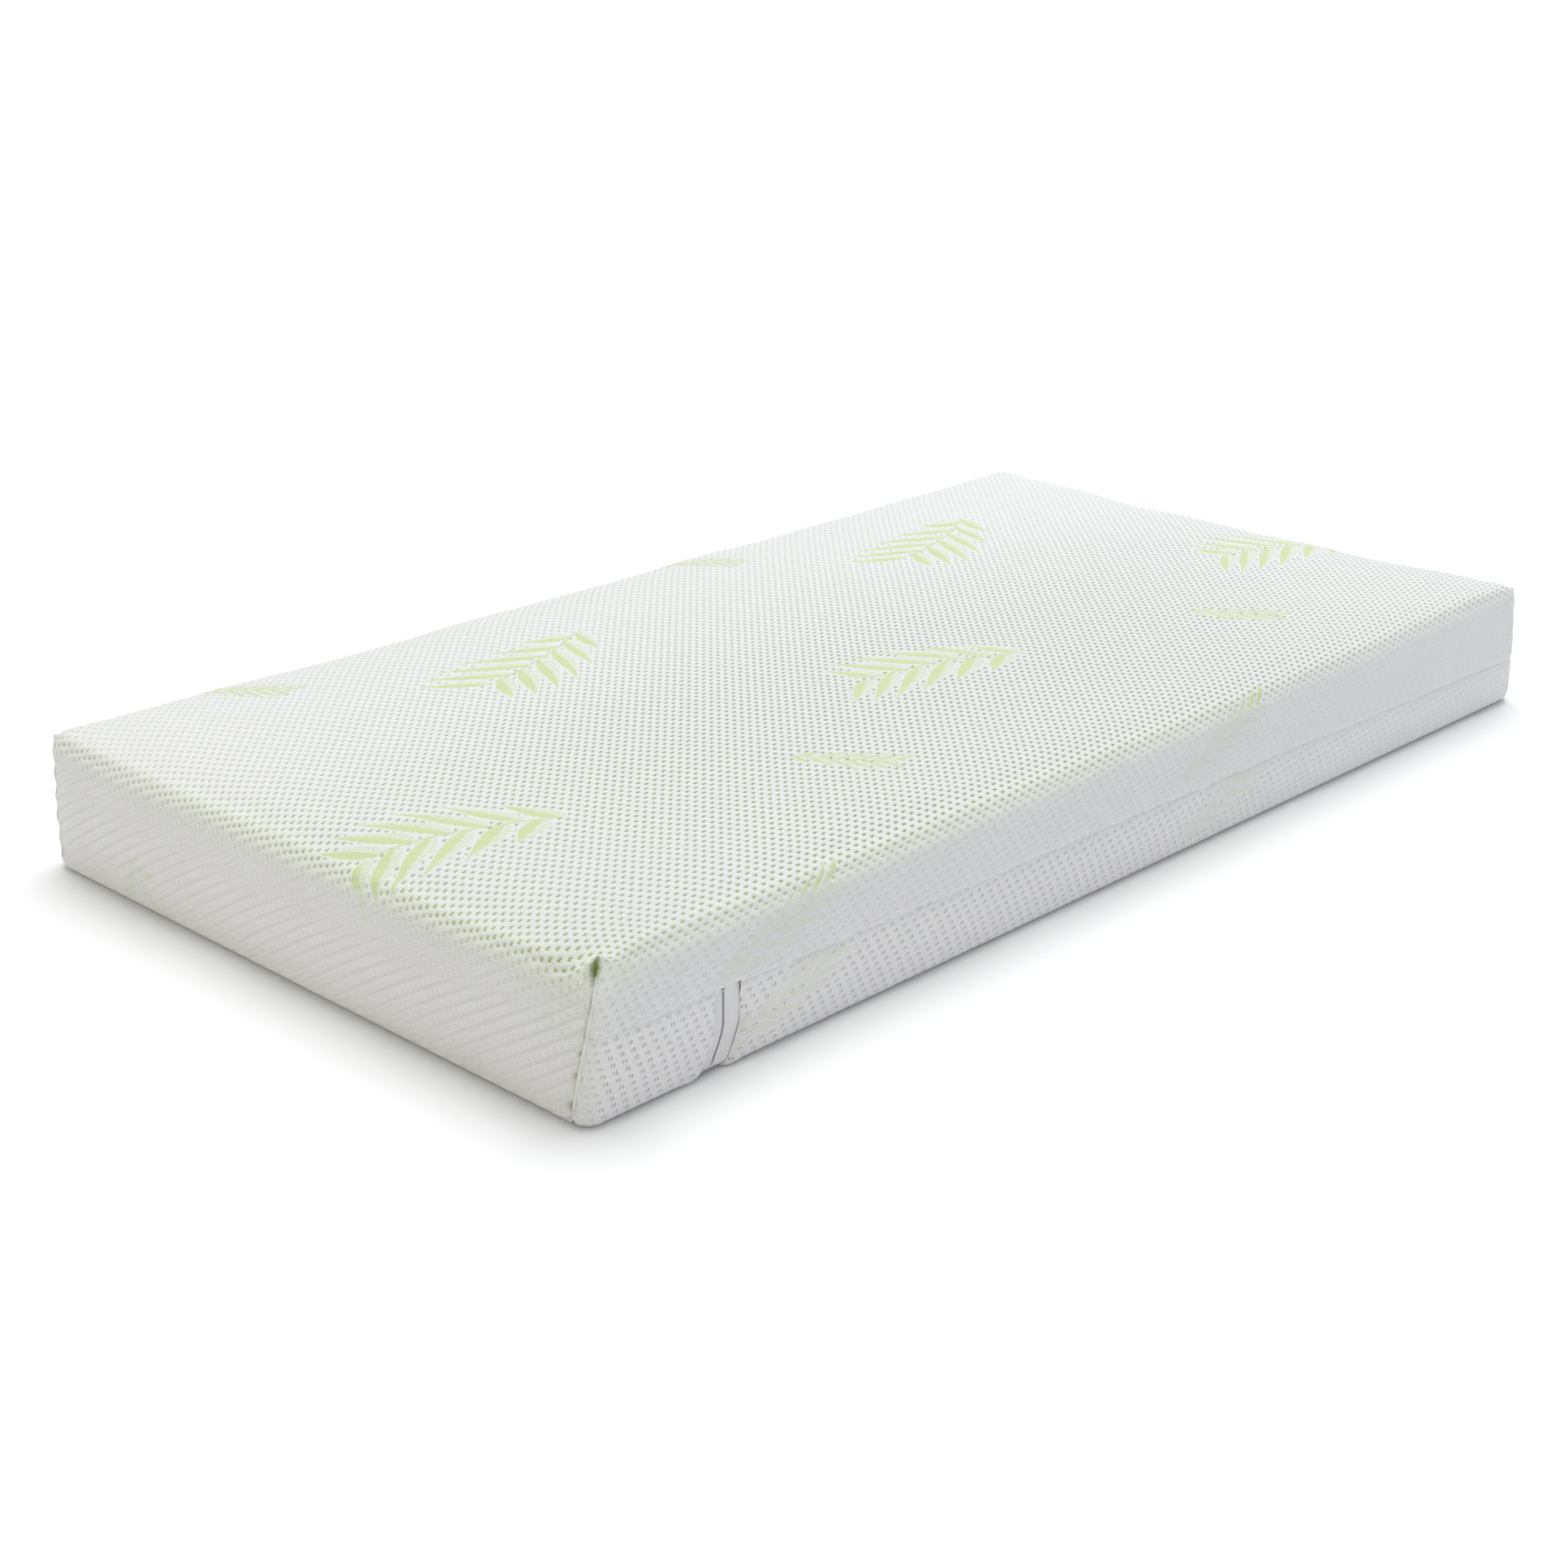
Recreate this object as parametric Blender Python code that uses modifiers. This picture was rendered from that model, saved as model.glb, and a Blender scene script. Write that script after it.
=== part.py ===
"""Memory foam cot mattress with a zip-off knitted cover.

A base foam block and a memory foam layer sit in a thin inner sock. The outer cover is a bag:
one top panel that also makes both short ends, and two base panels that meet the top panel at a
seam part-way down each long side. A zip crosses the underside and runs up both long sides to
those seams. Its slider is parked at the end of the zip on the -X side.

X is the width, Y the length, Z up; the origin is the middle of the underside. Units are metres.
"""

import math

import bmesh
import bpy

# ---- outside of the mattress ----
WIDTH, LENGTH, HEIGHT = 0.700, 1.320, 0.125
CORNER_RADIUS = 0.018  # every outer edge of the mattress
CORNER_STEPS = 4

# ---- layers, from the outside in ----
GAP = 0.0003  # between solids that touch
COVER_THICK = 0.0020
SOCK_THICK = 0.0008
MEMORY_THICK = 0.030
SOCK_MOUTH_WIDE, SOCK_MOUTH_TALL = 0.060, 0.004  # gap left in the sock's closing seam
SOCK_MOUTH_Z = 0.030

# ---- seams of the cover ----
SEAM_SLOT = 0.0022  # gap between two panels
SEAM_THREAD = 0.0014
SEAM_Z_FOOT = 0.069  # height of the side seams at the -Y end, where the zip is
SEAM_Z_HEAD = 0.047  # and at the +Y end
CORNER_SEAM_TOP = HEIGHT - CORNER_RADIUS

# ---- zip ----
ZIP_Y = -0.520  # middle of the zip
ZIP_CHANNEL = 0.027  # width of the channel that the zip lies in
TAPE_WIDTH, TAPE_THICK = 0.0125, 0.0006
TAPE_DEPTH = 0.0055  # from the outer faces of the mattress to the tape
COIL_WIDTH, COIL_THICK = 0.0016, 0.0018
COIL_SPACE = 0.0014  # between the two coils, where the slider's post passes
CHANNEL_DEPTH = 0.0081  # from the outer faces to the sock inside the channel

# ---- slider and puller ----
SLIDER_LONG, SLIDER_WIDE, PLATE_THICK = 0.0090, 0.0068, 0.0009
POST_WIDE, POST_LONG = 0.0008, 0.0024
SLIDER_BELOW_SEAM = 0.0090  # from the seam down to the middle of the slider
PULL_LONG, PULL_WIDE, PULL_THICK = 0.0165, 0.0052, 0.0009
PIVOT_R, BAIL_WALL = 0.0005, 0.0007

# ---- label ----
LABEL_WIDE, LABEL_TALL, LABEL_THICK = 0.040, 0.028, 0.0004
LABEL_Y = 0.430

SIDES = {"left": -1, "right": 1}
ENDS = {"foot": -1, "head": 1}

MATERIALS = {  # colour, roughness, metallic
    "knit_cover": ((0.86, 0.88, 0.84), 0.90, 0.0),
    "base_foam": ((0.90, 0.88, 0.80), 0.95, 0.0),
    "memory_foam": ((0.93, 0.90, 0.72), 0.90, 0.0),
    "stockinette": ((0.92, 0.92, 0.90), 0.95, 0.0),
    "seam_thread": ((0.80, 0.83, 0.76), 0.80, 0.0),
    "zip_tape": ((0.90, 0.90, 0.90), 0.85, 0.0),
    "zip_coil": ((0.82, 0.83, 0.84), 0.45, 0.0),
    "zip_slider": ((0.88, 0.88, 0.88), 0.35, 0.0),
    "zip_stop": ((0.72, 0.73, 0.75), 0.35, 1.0),
    "label": ((0.95, 0.95, 0.94), 0.60, 0.0),
}


def clear_scene():
    for item in list(bpy.data.objects):
        bpy.data.objects.remove(item, do_unlink=True)


def make_collection(name):
    collection = bpy.data.collections.new(name)
    bpy.context.scene.collection.children.link(collection)
    return collection


def make_material(name):
    colour, roughness, metallic = MATERIALS[name]
    material = bpy.data.materials.new(name)
    material.use_nodes = True
    shader = material.node_tree.nodes["Principled BSDF"]
    shader.inputs["Base Color"].default_value = (*colour, 1)
    shader.inputs["Roughness"].default_value = roughness
    shader.inputs["Metallic"].default_value = metallic
    return material


def add_box(name, collection, low, high, material=None, origin=None):
    """A box between two corners, with its origin at its middle or at the place given."""
    mesh = bpy.data.meshes.new(name)
    bm = bmesh.new()
    bmesh.ops.create_cube(bm, size=1)
    size = [b - a for a, b in zip(low, high)]
    bmesh.ops.scale(bm, vec=size, verts=bm.verts)
    middle = [(a + b) / 2 for a, b in zip(low, high)]
    place = origin or middle
    bmesh.ops.translate(bm, vec=[m - p for m, p in zip(middle, place)], verts=bm.verts)
    bm.to_mesh(mesh)
    bm.free()
    item = bpy.data.objects.new(name, mesh)
    item.location = place
    collection.objects.link(item)
    if material:
        mesh.materials.append(material)
    return item


def bevel(item, width, steps):
    modifier = item.modifiers.new("Bevel", "BEVEL")
    modifier.width = width
    modifier.segments = steps
    modifier.limit_method = "ANGLE"


def boolean(item, other, operation):
    """EXACT boolean, kept as a modifier; a cutter's own modifiers are evaluated first."""
    modifier = item.modifiers.new(operation.title(), "BOOLEAN")
    modifier.operation = operation
    modifier.solver = "EXACT"
    modifier.object = other


def rounded_block(name, collection, inset, material=None):
    """The mattress's outer shape, taken in by inset on every side."""
    low = (-WIDTH / 2 + inset, -LENGTH / 2 + inset, inset)
    high = (WIDTH / 2 - inset, LENGTH / 2 - inset, HEIGHT - inset)
    block = add_box(name, collection, low, high, material)
    bevel(block, CORNER_RADIUS - inset, CORNER_STEPS)
    return block


def seam_z(y):
    """Height of the side seams at a place along the length."""
    share = (y + LENGTH / 2) / LENGTH
    return SEAM_Z_FOOT + share * (SEAM_Z_HEAD - SEAM_Z_FOOT)


SEAM_TILT = math.atan2(SEAM_Z_HEAD - SEAM_Z_FOOT, LENGTH)


def channel_cutter(name, collection, width, depth, top):
    """The U of space that the zip lies in: a slab across the mattress, less a block inset by depth."""
    reach = 0.02
    slab = add_box(
        name,
        collection,
        (-WIDTH / 2 - reach, ZIP_Y - width / 2, -reach),
        (WIDTH / 2 + reach, ZIP_Y + width / 2, top),
    )
    core = rounded_block(name + "_core", collection, depth)
    boolean(slab, core, "DIFFERENCE")
    return slab


def hide_as_cutters(collection):
    for item in collection.objects:
        item.hide_render = True
        item.display_type = "WIRE"


def base_region(name, collection, low_y, high_y):
    """Everything below the side seams between two places along the length."""
    reach = 0.05
    region = add_box(
        name, collection, (-WIDTH / 2 - reach, low_y, -reach), (WIDTH / 2 + reach, high_y, 0)
    )
    mesh = region.data
    centre_y, centre_z = (low_y + high_y) / 2, -reach / 2
    for corner in mesh.vertices:
        if corner.co.z > 0:
            corner.co.z = seam_z(corner.co.y + centre_y) - SEAM_SLOT / 2 - centre_z
    return region


def build_cover(parts, cutters, material):
    """Three panels cut from one shell, parted by seam slots and by the zip's channel."""
    inner = rounded_block("cover_inner_space", cutters, COVER_THICK)
    # the channel narrows the inner space by the thickness of its walls, to the zip's depth
    wall_cut = channel_cutter(
        "channel_wall_cut",
        cutters,
        ZIP_CHANNEL + 2 * COVER_THICK,
        TAPE_DEPTH - GAP,
        seam_z(ZIP_Y) - SEAM_SLOT / 2,
    )
    boolean(inner, wall_cut, "DIFFERENCE")
    channel = add_box(
        "channel_opening",
        cutters,
        (-WIDTH, ZIP_Y - ZIP_CHANNEL / 2, -0.05),
        (WIDTH, ZIP_Y + ZIP_CHANNEL / 2, SEAM_Z_FOOT),
    )
    slot_half = SEAM_SLOT / 2
    edge_y = LENGTH / 2 - CORNER_RADIUS
    regions = {
        "cover_base_foot": base_region("base_foot_region", cutters, -edge_y, ZIP_Y),
        "cover_base_main": base_region("base_main_region", cutters, ZIP_Y, edge_y),
    }
    for name, region in regions.items():
        panel = rounded_block(name, parts, 0, material)
        boolean(panel, inner, "DIFFERENCE")
        boolean(panel, channel, "DIFFERENCE")
        boolean(panel, region, "INTERSECT")
    top_space = add_box(
        "under_top_panel",
        cutters,
        (-WIDTH, -edge_y - SEAM_SLOT, -0.05),
        (WIDTH, edge_y + SEAM_SLOT, 0),
    )
    for corner in top_space.data.vertices:
        if corner.co.z > 0:
            corner.co.z = seam_z(corner.co.y) + slot_half + 0.025
    top = rounded_block("cover_top_panel", parts, 0, material)
    boolean(top, rounded_block("top_inner_space", cutters, COVER_THICK), "DIFFERENCE")
    boolean(top, top_space, "DIFFERENCE")
    for side_name, side in SIDES.items():
        for end_name, end in ENDS.items():
            middle_x, middle_y = side * WIDTH / 2, end * (edge_y + slot_half)
            slot = add_box(
                f"corner_slot_{side_name}_{end_name}",
                cutters,
                (middle_x - CORNER_RADIUS, middle_y - slot_half, -0.01),
                (middle_x + CORNER_RADIUS, middle_y + slot_half, CORNER_SEAM_TOP),
            )
            boolean(top, slot, "DIFFERENCE")


def thread(name, collection, centre, size, tilt, material):
    item = add_box(name, collection, [-s / 2 for s in size], [s / 2 for s in size], material)
    item.location = centre
    item.rotation_euler = (tilt, 0, 0)
    return item


def build_seams(parts, material):
    """Thread in the slots: along each long side, down each corner and under each short end."""
    depth = COVER_THICK
    edge_y = LENGTH / 2 - CORNER_RADIUS
    for end_name, end in ENDS.items():
        thread(
            f"end_seam_{end_name}",
            parts,
            (0, end * (edge_y + SEAM_SLOT / 2), depth / 2),
            (WIDTH - 2 * CORNER_RADIUS, SEAM_THREAD, SEAM_THREAD),
            0,
            material,
        )
    for side_name, side in SIDES.items():
        x = side * (WIDTH / 2 - depth / 2 - GAP)
        long_run = 2 * (edge_y - GAP)
        middle_z = seam_z(0)
        thread(
            f"side_seam_{side_name}",
            parts,
            (x, 0, middle_z),
            (SEAM_THREAD, long_run, SEAM_THREAD),
            SEAM_TILT,
            material,
        )
        for end_name, end in ENDS.items():
            low, high = 0.012, CORNER_SEAM_TOP - 0.002
            thread(
                f"corner_seam_{side_name}_{end_name}",
                parts,
                (x, end * (edge_y + SEAM_SLOT / 2 + GAP), (low + high) / 2),
                (SEAM_THREAD, SEAM_THREAD, high - low),
                0,
                material,
            )


def build_foam(parts, cutters, base_material, memory_material):
    """The two foams fill the sock; the base foam has the groove that the zip presses in."""
    inset = COVER_THICK + SOCK_THICK + 2 * GAP
    channel = channel_cutter(
        "foam_channel",
        cutters,
        ZIP_CHANNEL + 2 * (COVER_THICK + SOCK_THICK + 2 * GAP),
        CHANNEL_DEPTH + SOCK_THICK + GAP,
        seam_z(ZIP_Y) + 0.004,
    )
    split_z = HEIGHT - inset - MEMORY_THICK
    layers = {
        "base_foam_core": (-0.05, split_z, base_material),
        "memory_foam_layer": (split_z + GAP, HEIGHT + 0.05, memory_material),
    }
    for name, (low, high, material) in layers.items():
        foam = rounded_block(name, parts, inset, material)
        keep = add_box(name + "_keep", cutters, (-WIDTH, -LENGTH, low), (WIDTH, LENGTH, high))
        boolean(foam, keep, "INTERSECT")
        if name == "base_foam_core":
            boolean(foam, channel, "DIFFERENCE")


def build_sock(parts, cutters, material):
    """The inner sock: a thin shell round both foams, with a gap in its seam at the head end."""
    inset = COVER_THICK + GAP
    sock = rounded_block("inner_sock", parts, inset, material)
    inner = rounded_block("sock_inner_space", cutters, inset + SOCK_THICK)
    outer_cut = channel_cutter(
        "sock_channel_outer",
        cutters,
        ZIP_CHANNEL + 2 * (COVER_THICK + GAP),
        CHANNEL_DEPTH,
        seam_z(ZIP_Y) + 0.002,
    )
    inner_cut = channel_cutter(
        "sock_channel_inner",
        cutters,
        ZIP_CHANNEL + 2 * (COVER_THICK + GAP + SOCK_THICK),
        CHANNEL_DEPTH + SOCK_THICK,
        seam_z(ZIP_Y) + 0.003,
    )
    boolean(inner, inner_cut, "DIFFERENCE")
    mouth = add_box(
        "sock_mouth",
        cutters,
        (-SOCK_MOUTH_WIDE / 2, LENGTH / 2 - 0.01, SOCK_MOUTH_Z),
        (SOCK_MOUTH_WIDE / 2, LENGTH / 2 + 0.01, SOCK_MOUTH_Z + SOCK_MOUTH_TALL),
    )
    boolean(sock, outer_cut, "DIFFERENCE")
    boolean(sock, inner, "DIFFERENCE")
    boolean(sock, mouth, "DIFFERENCE")


def u_ribbon(name, parts, cutters, low_y, high_y, depth, thick, top, material):
    """A ribbon that follows the zip's path: up one side, across the underside, up the other."""
    ribbon = rounded_block(name, parts, depth, material)
    core = rounded_block(name + "_core", cutters, depth + thick)
    keep = add_box(name + "_keep", cutters, (-WIDTH, low_y, -0.05), (WIDTH, high_y, top))
    boolean(ribbon, keep, "INTERSECT")
    boolean(ribbon, core, "DIFFERENCE")


def build_zip(parts, cutters, tape_material, coil_material, stop_material):
    """Two woven tapes with a nylon coil along each, and a metal stop at each end."""
    top = seam_z(ZIP_Y) - SEAM_SLOT / 2 - GAP
    half_space = COIL_SPACE / 2
    coil_depth = TAPE_DEPTH - GAP - COIL_THICK
    for name, end in ENDS.items():
        inner_y, outer_y = ZIP_Y + end * half_space, ZIP_Y + end * (half_space + TAPE_WIDTH)
        u_ribbon(
            f"zip_tape_{name}",
            parts,
            cutters,
            min(inner_y, outer_y),
            max(inner_y, outer_y),
            TAPE_DEPTH,
            TAPE_THICK,
            top,
            tape_material,
        )
        outer_y = ZIP_Y + end * (half_space + COIL_WIDTH)
        u_ribbon(
            f"zip_coil_{name}",
            parts,
            cutters,
            min(inner_y, outer_y),
            max(inner_y, outer_y),
            coil_depth,
            COIL_THICK,
            top - 0.002,
            coil_material,
        )
    for name, side in SIDES.items():
        outer_x = side * (WIDTH / 2 - coil_depth + 0.0006)
        inner_x = side * (WIDTH / 2 - TAPE_DEPTH + GAP)
        half_wide = half_space + COIL_WIDTH + 0.0005
        add_box(
            f"zip_stop_{name}",
            parts,
            (min(outer_x, inner_x), ZIP_Y - half_wide, top - 0.0017),
            (max(outer_x, inner_x), ZIP_Y + half_wide, top - 0.0003),
            stop_material,
        )


def build_slider(parts, cutters, material):
    """The slider's two plates, their side flanges, the post between the coils and the bail."""
    face_x = -WIDTH / 2
    coil_top = TAPE_DEPTH - GAP - COIL_THICK
    front_depth = coil_top - GAP - PLATE_THICK
    back_depth = TAPE_DEPTH + TAPE_THICK + GAP + PLATE_THICK
    middle_z = seam_z(ZIP_Y) - SLIDER_BELOW_SEAM
    low_z, high_z = middle_z - SLIDER_LONG / 2, middle_z + SLIDER_LONG / 2
    body = add_box(
        "zip_slider_body",
        parts,
        (face_x + front_depth, ZIP_Y - SLIDER_WIDE / 2, low_z),
        (face_x + back_depth, ZIP_Y + SLIDER_WIDE / 2, high_z),
        material,
    )
    bevel(body, 0.0003, 1)
    # room for the coils and the tapes on each side of the post
    room = add_box(
        "slider_coil_room",
        cutters,
        (face_x + coil_top - GAP, ZIP_Y - COIL_SPACE / 2 - COIL_WIDTH - GAP, low_z - 0.01),
        (face_x + back_depth - PLATE_THICK, ZIP_Y + COIL_SPACE / 2 + COIL_WIDTH + GAP, high_z + 0.01),
    )
    tape_room = add_box(
        "slider_tape_room",
        cutters,
        (face_x + TAPE_DEPTH - GAP, ZIP_Y - SLIDER_WIDE, low_z - 0.01),
        (face_x + back_depth - PLATE_THICK, ZIP_Y + SLIDER_WIDE, high_z + 0.01),
    )
    boolean(body, room, "DIFFERENCE")
    boolean(body, tape_room, "DIFFERENCE")
    post = add_box(
        "slider_post",
        cutters,
        (face_x + coil_top - 2 * GAP, ZIP_Y - POST_WIDE / 2, high_z - POST_LONG),
        (face_x + back_depth - PLATE_THICK / 2, ZIP_Y + POST_WIDE / 2, high_z - 0.0003),
    )
    boolean(body, post, "UNION")
    # the bail: a small bridge on the front plate that the puller's bar turns in
    pivot_z = middle_z + 0.0022
    bail = add_box(
        "slider_bail",
        cutters,
        (face_x + front_depth - 2 * PIVOT_R - 2 * GAP - BAIL_WALL, ZIP_Y - 0.0007, pivot_z - 0.0017),
        (face_x + front_depth + PLATE_THICK / 2, ZIP_Y + 0.0007, pivot_z + 0.0017),
    )
    bail_hole = add_box(
        "slider_bail_hole",
        cutters,
        (face_x + front_depth - 2 * PIVOT_R - 2 * GAP, ZIP_Y - 0.002, pivot_z - PIVOT_R - GAP),
        (face_x + front_depth, ZIP_Y + 0.002, pivot_z + PIVOT_R + GAP),
    )
    boolean(bail, bail_hole, "DIFFERENCE")
    boolean(body, bail, "UNION")
    return face_x + front_depth - PIVOT_R - GAP, pivot_z


def build_puller(parts, cutters, material, pivot_x, pivot_z):
    """A flat tab with an eye over the bail; the bar above the eye is the pivot, its origin."""
    tab = add_box(
        "zip_puller",
        parts,
        (pivot_x - PULL_THICK / 2, ZIP_Y - PULL_WIDE / 2, pivot_z - PULL_LONG),
        (pivot_x + PULL_THICK / 2, ZIP_Y + PULL_WIDE / 2, pivot_z + PIVOT_R),
        material,
        origin=(pivot_x, ZIP_Y, pivot_z),
    )
    bevel(tab, 0.0002, 1)
    eye = add_box(
        "puller_eye",
        cutters,
        (pivot_x - 0.002, ZIP_Y - 0.0012, pivot_z - 0.0042),
        (pivot_x + 0.002, ZIP_Y + 0.0012, pivot_z - PIVOT_R),
    )
    boolean(tab, eye, "DIFFERENCE")


def build_label(parts, material):
    """The blank sewn-in care label, flat against the -X side under its seam."""
    top = seam_z(LABEL_Y + LABEL_WIDE / 2) - SEAM_SLOT / 2 - 0.0006
    face_x = -WIDTH / 2
    add_box(
        "care_label",
        parts,
        (face_x - GAP - LABEL_THICK, LABEL_Y - LABEL_WIDE / 2, top - LABEL_TALL),
        (face_x - GAP, LABEL_Y + LABEL_WIDE / 2, top),
        material,
    )


def main():
    clear_scene()
    parts = make_collection("memory_foam_mattress")
    cutters = make_collection("cutters")
    material = {name: make_material(name) for name in MATERIALS}
    build_foam(parts, cutters, material["base_foam"], material["memory_foam"])
    build_sock(parts, cutters, material["stockinette"])
    build_cover(parts, cutters, material["knit_cover"])
    build_seams(parts, material["seam_thread"])
    build_zip(parts, cutters, material["zip_tape"], material["zip_coil"], material["zip_stop"])
    pivot_x, pivot_z = build_slider(parts, cutters, material["zip_slider"])
    build_puller(parts, cutters, material["zip_slider"], pivot_x, pivot_z)
    build_label(parts, material["label"])
    hide_as_cutters(cutters)
    print("slider pivot", round(pivot_x, 5), ZIP_Y, round(pivot_z, 5))


main()
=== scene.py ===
# Looks of the memory foam cot mattress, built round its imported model.
# Metres; X is the width, Y the length, Z up, and the zip end (the foot) is at -Y.
import math
from functools import partial

import bpy
import numpy as np
from mathutils import Matrix, Vector


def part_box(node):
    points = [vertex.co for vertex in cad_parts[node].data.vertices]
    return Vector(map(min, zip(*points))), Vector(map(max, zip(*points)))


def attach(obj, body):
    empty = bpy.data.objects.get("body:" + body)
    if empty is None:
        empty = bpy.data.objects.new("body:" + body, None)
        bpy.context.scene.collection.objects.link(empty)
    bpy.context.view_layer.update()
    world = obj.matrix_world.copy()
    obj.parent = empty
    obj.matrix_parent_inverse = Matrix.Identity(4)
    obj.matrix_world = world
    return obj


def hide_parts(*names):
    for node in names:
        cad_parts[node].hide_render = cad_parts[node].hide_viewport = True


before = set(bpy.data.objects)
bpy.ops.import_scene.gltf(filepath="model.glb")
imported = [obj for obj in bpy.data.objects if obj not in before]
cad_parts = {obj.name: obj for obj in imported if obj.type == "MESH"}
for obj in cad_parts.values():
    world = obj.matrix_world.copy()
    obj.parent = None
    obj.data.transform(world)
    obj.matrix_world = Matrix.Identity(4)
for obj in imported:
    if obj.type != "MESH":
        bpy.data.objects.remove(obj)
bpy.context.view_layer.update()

blockLow, blockHigh = (np.array(corner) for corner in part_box("cover_top_panel"))
halfWidth, halfLength, height = blockHigh[0], blockHigh[1], blockHigh[2]
tapeLow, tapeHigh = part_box("zip_tape_foot"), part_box("zip_tape_head")
zipY = (tapeLow[0].y + tapeHigh[1].y) / 2
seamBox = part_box("side_seam_right")
seamFoot, seamHead = seamBox[1].z, seamBox[0].z  # the side seams drop from foot to head


# mesh and surface helpers


def smoothStep(low, high, value):
    # 0 below low, 1 above high, and an S curve between them
    share = np.clip((value - low) / (high - low), 0, 1)
    return share * share * (3 - 2 * share)


def ripples(points, seed, waves, shortest, longest):
    # a sum of plane sine waves in fixed random directions, about -1 to 1
    rng = np.random.default_rng(seed)
    total = np.zeros(points.shape[:-1])
    for _ in range(waves):
        direction = rng.normal(size=3)
        direction /= np.linalg.norm(direction)
        length = rng.uniform(shortest, longest)
        total += np.sin(points @ direction * (2 * math.pi / length) + rng.uniform(0, 2 * math.pi))
    return total / math.sqrt(waves)


def makePiece(name, vertices, faces, material, body, layers=None, values=None, smooth=True):
    # one mesh object from arrays; layers are UV maps and values are point attributes, per vertex
    mesh = bpy.data.meshes.new(name)
    vertices = np.asarray(vertices, np.float32)
    faces = np.asarray(faces, np.int32)
    sides = faces.shape[1]
    mesh.vertices.add(len(vertices))
    mesh.vertices.foreach_set("co", vertices.ravel())
    mesh.loops.add(faces.size)
    mesh.loops.foreach_set("vertex_index", faces.ravel())
    mesh.polygons.add(len(faces))
    mesh.polygons.foreach_set("loop_start", np.arange(0, faces.size, sides, dtype=np.int32))
    mesh.update(calc_edges=True)
    for layerName, coordinates in (layers or {}).items():
        layer = mesh.uv_layers.new(name=layerName)
        layer.uv.foreach_set("vector", coordinates[faces.ravel()].astype(np.float32).ravel())
    for valueName, numbers in (values or {}).items():
        attribute = mesh.attributes.new(valueName, "FLOAT", "POINT")
        attribute.data.foreach_set("value", numbers.astype(np.float32))
    mesh.polygons.foreach_set("use_smooth", np.full(len(faces), smooth))
    mesh.validate()
    mesh.update()
    piece = bpy.data.objects.new(name, mesh)
    bpy.context.scene.collection.objects.link(piece)
    mesh.materials.append(material)
    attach(piece, body)
    return piece


def gridFaces(rows, columns, closedRows=False, closedColumns=False):
    # quads over a grid of rows x columns points, optionally joined round either way
    row = np.arange(rows if closedRows else rows - 1)
    column = np.arange(columns if closedColumns else columns - 1)
    r, c = (a.ravel() for a in np.meshgrid(row, column, indexing="ij"))
    nextR, nextC = (r + 1) % rows, (c + 1) % columns
    return np.stack(
        [r * columns + c, nextR * columns + c, nextR * columns + nextC, r * columns + nextC], 1
    )


def latticeShell(xs, ys, zs):
    # the outer quads of a box lattice of points; also the place of each point in the lattice
    grid = np.stack(np.meshgrid(xs, ys, zs, indexing="ij"), -1).reshape(-1, 3)
    number = np.arange(len(grid)).reshape(len(xs), len(ys), len(zs))
    faces = []
    for axis in range(3):
        for side in (0, -1):
            plane = np.take(number, side, axis=axis)
            near, far = plane[:-1], plane[1:]
            quads = np.stack([near[:, :-1], far[:, :-1], far[:, 1:], near[:, 1:]], -1)
            quads = quads.reshape(-1, 4)
            faces.append(quads[:, ::-1] if (side == 0) != (axis == 1) else quads)
    used, renumbered = np.unique(np.concatenate(faces), return_inverse=True)
    return grid[used], renumbered.reshape(-1, 4), used


def joinParts(parts):
    # several (vertices, faces) as one pair
    vertices, faces, start = [], [], 0
    for partVertices, partFaces in parts:
        vertices.append(partVertices)
        faces.append(partFaces + start)
        start += len(partVertices)
    return np.concatenate(vertices), np.concatenate(faces)


def tubePart(path, radius, sides=8, closedPath=False):
    # a round tube along a path: each ring lies in the plane across the path's direction
    path = np.asarray(path, float)
    if closedPath:
        forward = np.roll(path, -1, 0) - np.roll(path, 1, 0)
    else:
        forward = np.gradient(path, axis=0)
    forward /= np.linalg.norm(forward, axis=1)[:, None]
    helper = np.where(np.abs(forward[:, 2:3]) > 0.9, [[1.0, 0, 0]], [[0, 0, 1.0]])
    across = np.cross(forward, helper)
    across /= np.linalg.norm(across, axis=1)[:, None]
    upward = np.cross(across, forward)
    angle = np.linspace(0, 2 * math.pi, sides, endpoint=False)
    ring = across[:, None] * np.cos(angle)[:, None] + upward[:, None] * np.sin(angle)[:, None]
    radius = np.broadcast_to(np.asarray(radius, float), (len(path),))
    vertices = (path[:, None] + ring * radius[:, None, None]).reshape(-1, 3)
    return vertices, gridFaces(len(path), sides, closedPath, True)[:, ::-1]


# material helpers


def newMaterial(name, colour, roughness, sheen=0.0, metallic=0.0):
    material = bpy.data.materials.new(name)
    material.use_nodes = True
    nodes = material.node_tree.nodes
    shader = nodes["Principled BSDF"]
    shader.inputs["Base Color"].default_value = (*colour, 1)
    shader.inputs["Roughness"].default_value = roughness
    shader.inputs["Metallic"].default_value = metallic
    shader.inputs["Sheen Weight"].default_value = sheen
    shader.inputs["Sheen Roughness"].default_value = 0.5
    return material, nodes, material.node_tree.links, shader


def addMath(tree, operation, first, second=None, third=None, clamp=False):
    # a Math node whose inputs are numbers or sockets; returns its output
    node = tree.nodes.new("ShaderNodeMath")
    node.operation = operation
    node.use_clamp = clamp
    for index, value in enumerate((first, second, third)):
        if value is None:
            continue
        if hasattr(value, "is_output"):
            tree.links.new(value, node.inputs[index])
        else:
            node.inputs[index].default_value = value
    return node.outputs[0]


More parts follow.
